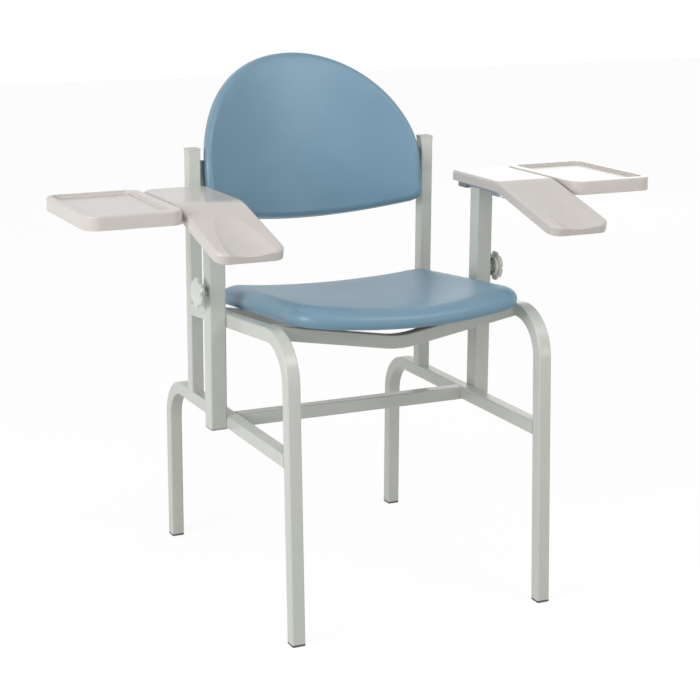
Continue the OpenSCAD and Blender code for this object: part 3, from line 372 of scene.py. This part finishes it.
# %% [markdown]
# ## Weld beads
# The frame is welded before it is painted, so each joint has a small rippled fillet under the same
# coat. A bump in the paint couldn't give it, because the two tubes meet in a sharp corner there. So
# one bead is a thin rod whose radius rises and falls along its length, like a row of drops. All of
# them go into one piece that belongs to the frame.

# %% Rings, bands and pieces
def arc(count, start, end):
    """Even steps from start to end, both of them counted in."""
    return [start + (end - start) * i / count for i in range(count + 1)]


def bridge(bm, low, high):
    """A band of faces between two closed rings of points."""
    for j in range(len(low)):
        k = (j + 1) % len(low)
        bm.faces.new((low[j], low[k], high[k], high[j]))


def finished_piece(name, bm, finish, smooth=True):
    """Turn a bmesh into a piece of the scene."""
    bmesh.ops.recalc_face_normals(bm, faces=bm.faces)
    for face in bm.faces:
        face.smooth = smooth
    mesh = bpy.data.meshes.new(name)
    bm.to_mesh(mesh)
    bm.free()
    mesh.materials.append(finish.material)
    piece = bpy.data.objects.new(name, mesh)
    bpy.context.scene.collection.objects.link(piece)
    return piece


print("rings of points, bands between them, and a piece made of them")

# %% One bead
BEAD_R, BEAD_SIDES, RIPPLE, RIPPLE_STEP, RINGS_A_RIPPLE = 1.5 * MM, 10, 0.35 * MM, 0.8 * MM, 3
BEAD_TIP, TIP_RINGS = 0.3, 3


def bead(bm, start, end):
    """Add a rippled rod from start to end, with both ends tapered."""
    along = end - start
    steps = round(along.length / RIPPLE_STEP)
    side, up = along.orthogonal().normalized(), along.cross(along.orthogonal()).normalized()
    rings = []
    for i in range(steps + 1):
        taper = min(1.0, BEAD_TIP + i / TIP_RINGS, BEAD_TIP + (steps - i) / TIP_RINGS)
        radius = (BEAD_R - RIPPLE * (i % RINGS_A_RIPPLE) / (RINGS_A_RIPPLE - 1)) * taper
        middle = start + along * (i / steps)
        rings.append([bm.verts.new(middle + radius * (side * math.cos(a) + up * math.sin(a)))
                      for a in arc(BEAD_SIDES, 0, math.tau)[:-1]])
    for low, high in zip(rings, rings[1:]):
        bridge(bm, low, high)
    bm.faces.new(rings[0][::-1])
    bm.faces.new(rings[-1])


print("a bead is", round(2 * BEAD_R / MM, 1), "mm thick")

# %% [markdown]
# The places of the beads come from the frame itself: the box round the left upright gives the
# tube's width, the side frame's inner face and the top of the rail that the upright stands on.

# %% Weld the joints
upright_low, upright_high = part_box("left_upright")
sleeve_low, sleeve_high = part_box("left_sleeve")
TUBE, INNER_FACE, RAIL_TOP = upright_high.x - upright_low.x, upright_low.x, upright_low.z
SEAT_SLOPE, ON_FACE = math.radians(-4.7), 0.01 * MM


def beads_at_end(bm, node, sign, slope):
    """Beads on the front and rear faces of a cross tube, where it meets a side frame."""
    piece = frame["nodes"][node]
    points = [piece.matrix_world @ v.co for v in piece.data.vertices]
    section = [p for p in points if abs(p.x - sign * INNER_FACE) < ON_FACE]
    middle = sum(section, Vector()) / len(section)
    turn = Matrix.Rotation(slope, 3, "X")
    for face in (-1, 1):
        at = middle + turn @ Vector((0, face * TUBE / 2, 0))
        half = turn @ Vector((0, 0, TUBE / 2 - 2 * BEAD_R))
        bead(bm, at - half, at + half)


welds = bmesh.new()
for sign in (-1, 1):
    beads_at_end(welds, "cross_bar", sign, 0)
    beads_at_end(welds, "front_bow", sign, SEAT_SLOPE)
    beads_at_end(welds, "rear_bow", sign, SEAT_SLOPE)
    near, far = sign * (INNER_FACE + 2 * BEAD_R), sign * (INNER_FACE + TUBE - 2 * BEAD_R)
    for y in (upright_low.y, upright_high.y):
        bead(welds, Vector((near, y, RAIL_TOP)), Vector((far, y, RAIL_TOP)))
    seam = sign * (INNER_FACE + TUBE)
    for y in (sleeve_low.y, sleeve_high.y):
        bead(welds, Vector((seam, y, RAIL_TOP - TUBE + 2 * BEAD_R)),
             Vector((seam, y, RAIL_TOP - 2 * BEAD_R)))
weld_beads = finished_piece("weld_beads", welds, powder)
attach(weld_beads, "root")
print("weld beads:", len(weld_beads.data.polygons), "faces")

# %% [markdown]
# ## Sewing the seat
# The seat is foam on a dished board, under one stretched cover. Three ways could make it: an
# inflated block, a sculpted subdivision cage, or a skin lofted through outlines. The loft follows
# the real cushion best, because its side profile is the same all the way round: it swells out from
# the board's edge and rolls over to a crest. Each outline point gets one smooth curve up that
# profile, and inside the crest the top sinks into the dish.

# %% Lofting helpers
BOW_STEPS, CORNER_STEPS = 24, 14


def bowed_edge(half_w, edge, bow_r, corner_r):
    """Half outline: from the middle of a bowed edge, round a corner, to the straight side."""
    middle = edge + bow_r
    turn = math.asin((half_w - corner_r) / (bow_r - corner_r))
    corner_y = middle - (bow_r - corner_r) * math.cos(turn)
    bow = [(bow_r * math.sin(a), middle - bow_r * math.cos(a))
           for a in arc(BOW_STEPS, 0, turn)[:-1]]
    corner = [(half_w - corner_r + corner_r * math.sin(a), corner_y - corner_r * math.cos(a))
              for a in arc(CORNER_STEPS, turn, math.pi / 2)]
    return bow + corner


def both_halves(half):
    return half + [(-x, y) for x, y in reversed(half[1:-1])]


def drawn_in(outline, share, middle):
    """The outline, shrunk to a share of its size about a point on the middle line."""
    return [(x * share, y * share + (1 - share) * middle) for x, y in outline]


def bow_radius(width, rise):
    """The radius of an arc this wide that rises this much in its middle."""
    return ((width / 2) ** 2 + rise ** 2) / (2 * rise)


def skin(name, rings, first, last):
    """A closed mesh through a stack of rings, ended by two middle points."""
    bm = bmesh.new()
    columns = [[bm.verts.new(p) for p in ring] for ring in rings]
    ends = bm.verts.new(first), bm.verts.new(last)
    for low, high in zip(columns, columns[1:]):
        bridge(bm, low, high)
    n = len(rings[0])
    for j in range(n):
        k = (j + 1) % n
        bm.faces.new((ends[0], columns[0][k], columns[0][j]))
        bm.faces.new((ends[1], columns[-1][j], columns[-1][k]))
    return finished_piece(name, bm, vinyl)


print("a loft takes a stack of outlines and returns one closed skin")

# %% [markdown]
# The seat's sizes are the model's own, so that the skin fits the board. The board's width is read
# from the frame, to a tenth of a millimetre. The cushion reaches past the board's edge by WRAP,
# with PAD_FIT between foam and wood. The front edge bows forward by SEAT_BOW, and the board is
# dished by SEAT_DISH. The side swells out by BULGE, is widest at WIDEST_SHARE of its height, and
# rolls in to a crest at CREST_INSET. At the sides the crest stands SEAT_CROWN above the board's
# underside, and in the middle the foam is PAD_T thick.

# %% Sizes of the seat
WRAP, PAD_FIT = 4 * MM, 0.3 * MM


def cushion_width(board):
    low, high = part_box(board)
    return round(high.x - low.x + 2 * WRAP, 4)


SEAT_W = cushion_width("seat_board")
SEAT_L, SEAT_FRONT, SEAT_BOW = 363 * MM, 78 * MM, 29 * MM
FRONT_CORNER, REAR_CORNER = 45 * MM, 26 * MM
SEAT_GAP, SEAT_DISH, BOARD_T, SEAT_CROWN, PAD_T = 2.5 * MM, 13 * MM, 11 * MM, 29.5 * MM, 18.5 * MM
BULGE, CREST_INSET = 6.5 * MM, 19.5 * MM
WIDEST_SHARE, REAR_RISE_SHARE = 0.32, 0.5
SEAT_AT = 0, -180.47 * MM, 484 * MM
SEAT_SIDE_STEPS, REAR_CORNER_STEPS, REAR_EDGE_STEPS = 24, 12, 18
seat_curve_r, seat_front_r = bow_radius(SEAT_W, SEAT_DISH), bow_radius(SEAT_W, SEAT_BOW)
seat_middle, seat_rear = SEAT_L / 3, SEAT_L - SEAT_FRONT
seat_place = Matrix.Translation(SEAT_AT) @ Matrix.Rotation(SEAT_SLOPE, 4, "X")
print("seat:", round(SEAT_W / MM), "mm wide and", round(SEAT_L / MM), "mm long")


# %% Seat outline and heights
def seat_outline(inset):
    half_w, rear = SEAT_W / 2 - inset, seat_rear - inset
    front = bowed_edge(half_w, -SEAT_FRONT + inset, seat_front_r, FRONT_CORNER - inset / 2)
    side_y, side_end = front[-1][1], rear - REAR_CORNER
    side = [(half_w, y) for y in arc(SEAT_SIDE_STEPS, side_y, side_end)[1:-1]]
    corner = [(half_w - REAR_CORNER * (1 - math.cos(a)), side_end + REAR_CORNER * math.sin(a))
              for a in arc(REAR_CORNER_STEPS, 0, math.pi / 2)]
    edge = [(x, rear) for x in arc(REAR_EDGE_STEPS, half_w - REAR_CORNER, 0)[1:]]
    return both_halves(front + side + corner + edge)


def seat_under(x):
    """Height of the dished board's underside."""
    return SEAT_GAP - SEAT_DISH + seat_curve_r - math.sqrt(seat_curve_r ** 2 - x * x)


def seat_top(x, y):
    """Height of the cushion's top, which rises to the sides and the rear."""
    across = min(1, (x / (SEAT_W / 2 - CREST_INSET)) ** 2)
    rear = min(1, max(0, (y - seat_middle) / (seat_rear - seat_middle)))
    low, high = SEAT_GAP - SEAT_DISH + BOARD_T + PAD_T, SEAT_GAP + SEAT_CROWN
    return low + (high - low) * (1 - (1 - across) * (1 - REAR_RISE_SHARE * rear ** 2))


def seat_point(x, y, z):
    return seat_place @ Vector((x, y, z))


crest = seat_outline(CREST_INSET)
crest_heights = [seat_top(x, y) - seat_under(x) for x, y in crest]
print("seat outline:", len(crest), "points")


# %% Rings of the seat
def seat_side_ring(inset, share):
    """A ring of the pad's side, at a share of the way up to the crest."""
    return [seat_point(x, y, seat_under(x) + share * height)
            for (x, y), height in zip(seat_outline(inset), crest_heights)]


def seat_top_ring(share):
    return [seat_point(x, y, seat_top(x, y)) for x, y in drawn_in(crest, share, seat_middle)]


def seat_cavity_ring(share, height):
    """A ring inside the pad, where it lies on the board."""
    inside = drawn_in(seat_outline(WRAP - PAD_FIT), share, seat_middle)
    return [seat_point(x, y, seat_under(x) + height) for x, y in inside]


print("the seat's rings go from inside the board's hollow, round the side and over the top")

# %% [markdown]
# ## Stretching the cover
# A lofted pad is too tidy: on the real one the cover is pulled tight over foam that pushes back, so
# the broad faces belly out a little and the roll at the edge tightens. Sculpting could add that by
# hand, but Blender's cloth does it with one number, the pressure. The points that touch the board
# are pinned and the rest are blown outwards, much further than foam would push them. So the cloth
# says which way each point goes, and a cap says how far, and the pad keeps its measured size.

# %% Cloth under pressure
COVER_PRESSURE, COVER_FRAMES = 4.0, 20


def stretch_cover(pad, held_points, cap):
    """Blow the cover out with cloth, and let no point move further than the cap.

    The first held_points of the skin touch the board, and so does its last point but one, which
    is the middle of the hollow.
    """
    start = [v.co.copy() for v in pad.data.vertices]
    pins = pad.vertex_groups.new(name="held")
    pins.add([*range(held_points), len(start) - 2], 1.0, "REPLACE")
    cloth = pad.modifiers.new("cover", "CLOTH")
    cloth.settings.vertex_group_mass = pins.name
    cloth.settings.use_pressure = True
    cloth.settings.uniform_pressure_force = COVER_PRESSURE
    cloth.settings.effector_weights.gravity = 0.0
    cloth.collision_settings.use_collision = False
    cloth.point_cache.frame_end = COVER_FRAMES
    for moment in range(1, COVER_FRAMES + 1):
        bpy.context.scene.frame_set(moment)
    blown = pad.evaluated_get(bpy.context.evaluated_depsgraph_get()).data
    moves = [b.co - a for a, b in zip(start, blown.vertices)]
    largest = max(move.length for move in moves)
    pad.modifiers.remove(cloth)
    pad.vertex_groups.remove(pins)
    bpy.context.scene.frame_set(1)
    for vertex, rest, move in zip(pad.data.vertices, start, moves):
        vertex.co = rest + move * min(1.0, cap / max(move.length, 1e-9))
    print(pad.name, "cover moved up to", round(largest / MM, 1), "mm before the cap")


print("the cover is stretched by cloth in", COVER_FRAMES, "frames")

# %% Sew the seat
SEAT_CAP, SWELL_STEPS, SWELL_HELD, ROLL_STEPS = 1.5 * MM, 8, 3, 16
SEAT_CAVITY_SHARES = 0.05, 0.4, 0.8, 1.0
SEAT_TOP_SHARES = 0.97, 0.94, 0.9, 0.85, 0.79, 0.72, 0.64, 0.55, 0.45, 0.34, 0.22, 0.1

cavity = [seat_cavity_ring(share, BOARD_T + PAD_FIT) for share in SEAT_CAVITY_SHARES]
cavity.append(seat_cavity_ring(1.0, 0))
swell = [seat_side_ring(-BULGE * math.cos(a), WIDEST_SHARE * (1 - math.sin(a)))
         for a in arc(SWELL_STEPS, math.pi / 2, 0)[:-1]]
roll = [seat_side_ring(CREST_INSET - (CREST_INSET + BULGE) * math.cos(a),
                       WIDEST_SHARE + (1 - WIDEST_SHARE) * math.sin(a))
        for a in arc(ROLL_STEPS, 0, math.pi / 2)]
top = [seat_top_ring(share) for share in SEAT_TOP_SHARES]
seat = skin("seat_pad", cavity + swell + roll + top,
            seat_point(0, seat_middle, seat_under(0) + BOARD_T + PAD_FIT),
            seat_point(0, seat_middle, seat_top(0, seat_middle)))
stretch_cover(seat, (len(cavity) + SWELL_HELD) * len(crest), SEAT_CAP)
print("seat:", len(seat.data.vertices), "points")

# %% [markdown]
# ## Sewing the back
# The back is a thinner pad on a board that wraps round the sitter. Its front face is almost flat
# and turns over in one tight roll at the edge. The same loft makes it: outlines drawn in step by
# step, each at its depth in front of the board. BACK_CURVE is how far the board's sides come
# forward, BACK_BELLY how far the foam stands out in the middle, and BACK_SIDE_H the height at which
# the straight sides end and the round top begins.

# %% Sizes of the back
BACK_W = cushion_width("back_board")
BACK_L, BACK_CURVE, BACK_SIDE_H = 290 * MM, 71 * MM, 85 * MM
BACK_BOW, BACK_CORNER, BACK_T, BACK_ROUND = 14.5 * MM, 17 * MM, 24 * MM, 12 * MM
BACK_BELLY, BACK_BOARD_T, REAR_ROUND = 7 * MM, 8 * MM, 2 * MM
BACK_AT, BACK_LEAN, BACK_MIDDLE_SHARE = (0, 203 * MM, 578 * MM), math.radians(-13), 0.45
BACK_SIDE_STEPS, ARCH_STEPS = 8, 48
back_curve_r, back_bow_r = bow_radius(BACK_W, BACK_CURVE), bow_radius(BACK_W, BACK_BOW)
back_middle = BACK_MIDDLE_SHARE * BACK_L
back_place = Matrix.Translation(BACK_AT) @ Matrix.Rotation(BACK_LEAN, 4, "X")
print("back:", round(BACK_W / MM), "mm wide and", round(BACK_L / MM), "mm high")


# %% Outline and rings of the back
def back_outline(inset):
    """A bowed lower edge, short straight sides and a round top."""
    half_w = BACK_W / 2 - inset
    lower = bowed_edge(half_w, inset, back_bow_r, BACK_CORNER)
    side = [(half_w, z) for z in arc(BACK_SIDE_STEPS, lower[-1][1], BACK_SIDE_H)[1:-1]]
    arch_h = BACK_L - inset - BACK_SIDE_H
    arch = [(half_w * math.cos(a), BACK_SIDE_H + arch_h * math.sin(a))
            for a in arc(ARCH_STEPS, 0, math.pi / 2)]
    return both_halves(lower + side + arch)


def back_point(x, depth, z):
    forward = back_curve_r - math.sqrt(back_curve_r ** 2 - x * x)
    return back_place @ Vector((x, -forward - depth, z))


def back_ring(inset, depth, share=1.0):
    return [back_point(x, depth, z) for x, z in drawn_in(back_outline(inset), share, back_middle)]


def back_depth(share):
    return BACK_T + BACK_BELLY * (1 - share ** 2)


print("back outline:", len(back_outline(0)), "points")

# %% Sew the back
BACK_CAP, REAR_ROLL_STEPS, BAND_STEPS, FRONT_ROLL_STEPS = 1.2 * MM, 4, 4, 10
BACK_CAVITY_SHARES = 0.05, 0.25, 0.5, 0.75, 1.0
BACK_FACE_SHARES = 0.98, 0.95, 0.91, 0.86, 0.8, 0.73, 0.65, 0.56, 0.46, 0.35, 0.23, 0.1

behind = [back_ring(WRAP - PAD_FIT, BACK_BOARD_T + PAD_FIT, share) for share in BACK_CAVITY_SHARES]
behind.append(back_ring(WRAP - PAD_FIT, 0))
rear_roll = [back_ring(REAR_ROUND * (1 - math.sin(a)), REAR_ROUND * (1 - math.cos(a)))
             for a in arc(REAR_ROLL_STEPS, 0, math.pi / 2)]
band = [back_ring(0, depth) for depth in arc(BAND_STEPS, REAR_ROUND, BACK_T - BACK_ROUND)[1:-1]]
front_roll = [back_ring(BACK_ROUND * (1 - math.cos(a)), BACK_T - BACK_ROUND * (1 - math.sin(a)))
              for a in arc(FRONT_ROLL_STEPS, 0, math.pi / 2)]
face = [back_ring(BACK_ROUND, back_depth(share), share) for share in BACK_FACE_SHARES]
back = skin("back_pad", behind + rear_roll + band + front_roll + face,
            back_point(0, BACK_BOARD_T + PAD_FIT, back_middle),
            back_point(0, back_depth(0), back_middle))
stretch_cover(back, (len(behind) + len(rear_roll)) * len(back_outline(0)), BACK_CAP)
print("back:", len(back.data.vertices), "points")

# %% [markdown]
# ## Cushions on the chair
# One level of subdivision rounds off the loft's facets; modelling them finer would only make the
# cloth slower. Each pad then rides on the frame and takes the place of the model's plain cushion.

# %% Put the cushions in place
for pad, node, fill in ((seat, "seat_cushion", 0.8), (back, "back_cushion", 0.85)):
    smooth = pad.modifiers.new("smooth", "SUBSURF")
    smooth.levels = smooth.render_levels = 1
    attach(pad, "root")
    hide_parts(node)
print("cushions ride on the frame")

# %% [markdown]
# ## Hems and staples
# Behind the back and under the seat, the cover is folded over the board's edge and stapled. A seam
# drawn in the material would be flat, so the hem is a closed band of four rings that follows the
# cushion's own outline. Its inner edge was cut by hand, so two waves, a quick and a slow one, make
# it wander. Staples follow it at a steady pitch.

# %% A folded hem
HEM_OUTER, HEM_INNER, HEM_T, HEM_SUNK = 2 * MM, 17 * MM, 0.6 * MM, 0.3 * MM
HEM_WANDER, WANDER_QUICK, WANDER_SLOW = 0.7 * MM, 1.7, 0.31


def seat_hem_ring(inset, lift):
    return [seat_point(x, y, seat_under(x) - lift) for x, y in seat_outline(inset)]


def back_hem_ring(inset, lift):
    return back_ring(inset, -lift)


def folded_hem(name, ring):
    """A band round a cushion; ring(inset, lift) gives its points, lift being off the board."""
    inner = ring(HEM_INNER, HEM_T), ring(HEM_INNER + HEM_T, -HEM_SUNK)
    outer = ring(HEM_OUTER - HEM_T, -HEM_SUNK), ring(HEM_OUTER, HEM_T)
    middle = sum(inner[0], Vector()) / len(inner[0])

    def wandered(j, point):
        reach = HEM_WANDER * math.sin(WANDER_QUICK * j) * math.sin(WANDER_SLOW * j)
        return point + (middle - point).normalized() * reach

    bm = bmesh.new()
    columns = [[bm.verts.new(p) for p in points] for points in outer]
    columns += [[bm.verts.new(wandered(j, p)) for j, p in enumerate(points)] for points in inner]
    for low, high in zip(columns, columns[1:] + columns[:1]):
        bridge(bm, low, high)
    return finished_piece(name, bm, vinyl)


print("a hem is", round((HEM_INNER - HEM_OUTER) / MM), "mm wide")

# %% A row of staples
STAPLE_PITCH, STAPLE_INSET, STAPLE_HALF, STAPLE_WIRE = 27 * MM, 11 * MM, 4.5 * MM, 0.45 * MM


def staple_row(name, ring):
    """Short flat wires on the hem, all round, each lying along the edge."""
    base, raised = ring(STAPLE_INSET, HEM_T), ring(STAPLE_INSET, HEM_T + 2 * STAPLE_WIRE)
    run = 0.0
    bm = bmesh.new()
    for here, ahead, above in zip(base, base[1:] + base[:1], raised):
        run += (ahead - here).length
        if run < STAPLE_PITCH:
            continue
        run = 0.0
        along, off = (ahead - here).normalized(), (above - here).normalized()
        sides = along * STAPLE_HALF, along.cross(off) * STAPLE_WIRE, off * STAPLE_WIRE
        lie = Matrix.Translation(here) @ Matrix(sides).transposed().to_4x4()
        bmesh.ops.create_cube(bm, size=2.0, matrix=lie)
    return finished_piece(name, bm, zinc, smooth=False)


print("a staple every", round(STAPLE_PITCH / MM), "mm")

# %% Fold and staple the covers
CUBE_FACES = 6
for cushion, ring in (("seat", seat_hem_ring), ("back", back_hem_ring)):
    hem, staples = folded_hem(f"{cushion}_hem", ring), staple_row(f"{cushion}_staples", ring)
    for piece, slot in ((hem, "vinyl"), (staples, "steel")):
        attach(piece, "root")
    print(cushion, "staples:", len(staples.data.polygons) // CUBE_FACES)

# %% [markdown]
# ## The ground
# The photo has a white ground and no hard shadow. A large pale floor and a white world give that.
# A floor that is lit until it turns white would wash the chair out too. So the floor and the world
# look white only to the camera and in reflections, and they are dimmer as lamps.

# %% What the camera sees of the ground
FLOOR_REACH, GLOW_SHARE, FLOOR_GLOW, WORLD_AS_LAMP = 9.0, 0.76, 1.18, 0.49
WHITE, PAPER, PAPER_LIGHT, PAPER_DARK = (1, 1, 1, 1), 0.5, srgb(194, 194, 194), srgb(190, 190, 190)


def seen(wiring):
    """1 for the rays of the camera, of reflections and through glass, and 0 for all others."""
    rays = [wiring.node("ShaderNodeLightPath", out=f"Is {kind} Ray")
            for kind in ("Camera", "Glossy", "Transmission")]
    return wiring.between(rays[0] + rays[1] + rays[2], 0, 1)


def pale_floor():
    f = Finish("pale_floor")
    paper = f.noise(PAPER, 3.0)
    f.surface(Base_Color=f.mix(paper, PAPER_LIGHT, PAPER_DARK), Roughness=0.9 + paper * 0.05)
    glow = f.node("ShaderNodeEmission", None, {"Color": WHITE, "Strength": FLOOR_GLOW})
    lit = Field(f, f.shader.outputs["BSDF"])
    ground = f.node("ShaderNodeMixShader", None, {0: seen(f) * GLOW_SHARE, 1: lit, 2: glow})
    f.plug(f.tree.nodes["Material Output"].inputs["Surface"], ground)
    return f


print("the floor's own light is", FLOOR_GLOW, "and the world counts", WORLD_AS_LAMP, "as a lamp")

# %% Floor and world
corners = [(x * FLOOR_REACH, y * FLOOR_REACH, 0) for x, y in ((-1, -1), (1, -1), (1, 1), (-1, 1))]
floor_mesh = bpy.data.meshes.new("floor")
floor_mesh.from_pydata(corners, [], [(0, 1, 2, 3)])
floor_mesh.materials.append(pale_floor().material)
floor = bpy.data.objects.new("floor", floor_mesh)
bpy.context.scene.collection.objects.link(floor)

world = bpy.data.worlds.new("studio")
bpy.context.scene.world = world
world.use_nodes = True
sky = Wiring(world.node_tree)
background = sky.tree.nodes["Background"]
sky.plug(background.inputs["Color"], WHITE)
sky.plug(background.inputs["Strength"], WORLD_AS_LAMP + seen(sky) * (1 - WORLD_AS_LAMP))
print("floor and world are set")

# %% [markdown]
# ## Soft boxes
# Soft boxes shape the chair: one from the sitter's right, one close overhead, one behind, whose
# long reflection lies on the far tray, and two weak ones in front. Area lamps are used, because
# their size sets how soft a shadow's edge is. Each is aimed at a spot, with its power in watts.

# %% Place the soft boxes
def soft_box(name, at, aim, width, height, watts):
    lamp = bpy.data.lights.new(name, "AREA")
    lamp.shape, lamp.size, lamp.size_y, lamp.energy = "RECTANGLE", width, height, watts
    box = bpy.data.objects.new(name, lamp)
    box.location = at
    box.rotation_euler = (Vector(aim) - Vector(at)).to_track_quat("-Z", "Y").to_euler()
    bpy.context.scene.collection.objects.link(box)


soft_box("side_box", at=(-2.6, -0.9, 1.25), aim=(0, 0, 0.5), width=1.3, height=1.5, watts=46)
soft_box("top_box", at=(-0.1, -0.75, 2.0), aim=(0, 0, 0.6), width=1.0, height=0.8, watts=2.5)
soft_box("rear_box", at=(2.75, 3.4, 1.2), aim=(0.3, 0, 0.6), width=1.5, height=1.3, watts=5.5)
soft_box("front_box", at=(0.75, -1.35, 1.85), aim=(0, 0.16, 0.8), width=0.9, height=0.6, watts=9)
soft_box("low_box", at=(1.75, -2.85, 0.6), aim=(0.22, -0.26, 0.3), width=0.8, height=0.7, watts=7)
print("five soft boxes")

# %% [markdown]
# ## The camera
# The camera was found by fitting the frame's straight edges to the photo. Its long lens keeps the
# tubes nearly parallel. The small shifts stand for a picture that was cropped off centre.

# %% Camera
CAMERA_AT, CAMERA_DOWN, CAMERA_TURN = (-1.2176, -2.5554, 1.0910), 13.465, -24.259

lens = bpy.data.cameras.new("camera")
lens.sensor_width, lens.lens = 36.0, 89.22
lens.shift_x, lens.shift_y = 0.0511, -0.0239
camera = bpy.data.objects.new("camera", lens)
camera.location = CAMERA_AT
camera.rotation_euler = (math.radians(90 - CAMERA_DOWN), 0, math.radians(CAMERA_TURN))
bpy.context.scene.collection.objects.link(camera)
bpy.context.scene.camera = camera
bpy.context.scene.view_settings.view_transform = "Standard"
print("camera at", [round(c, 2) for c in camera.location])
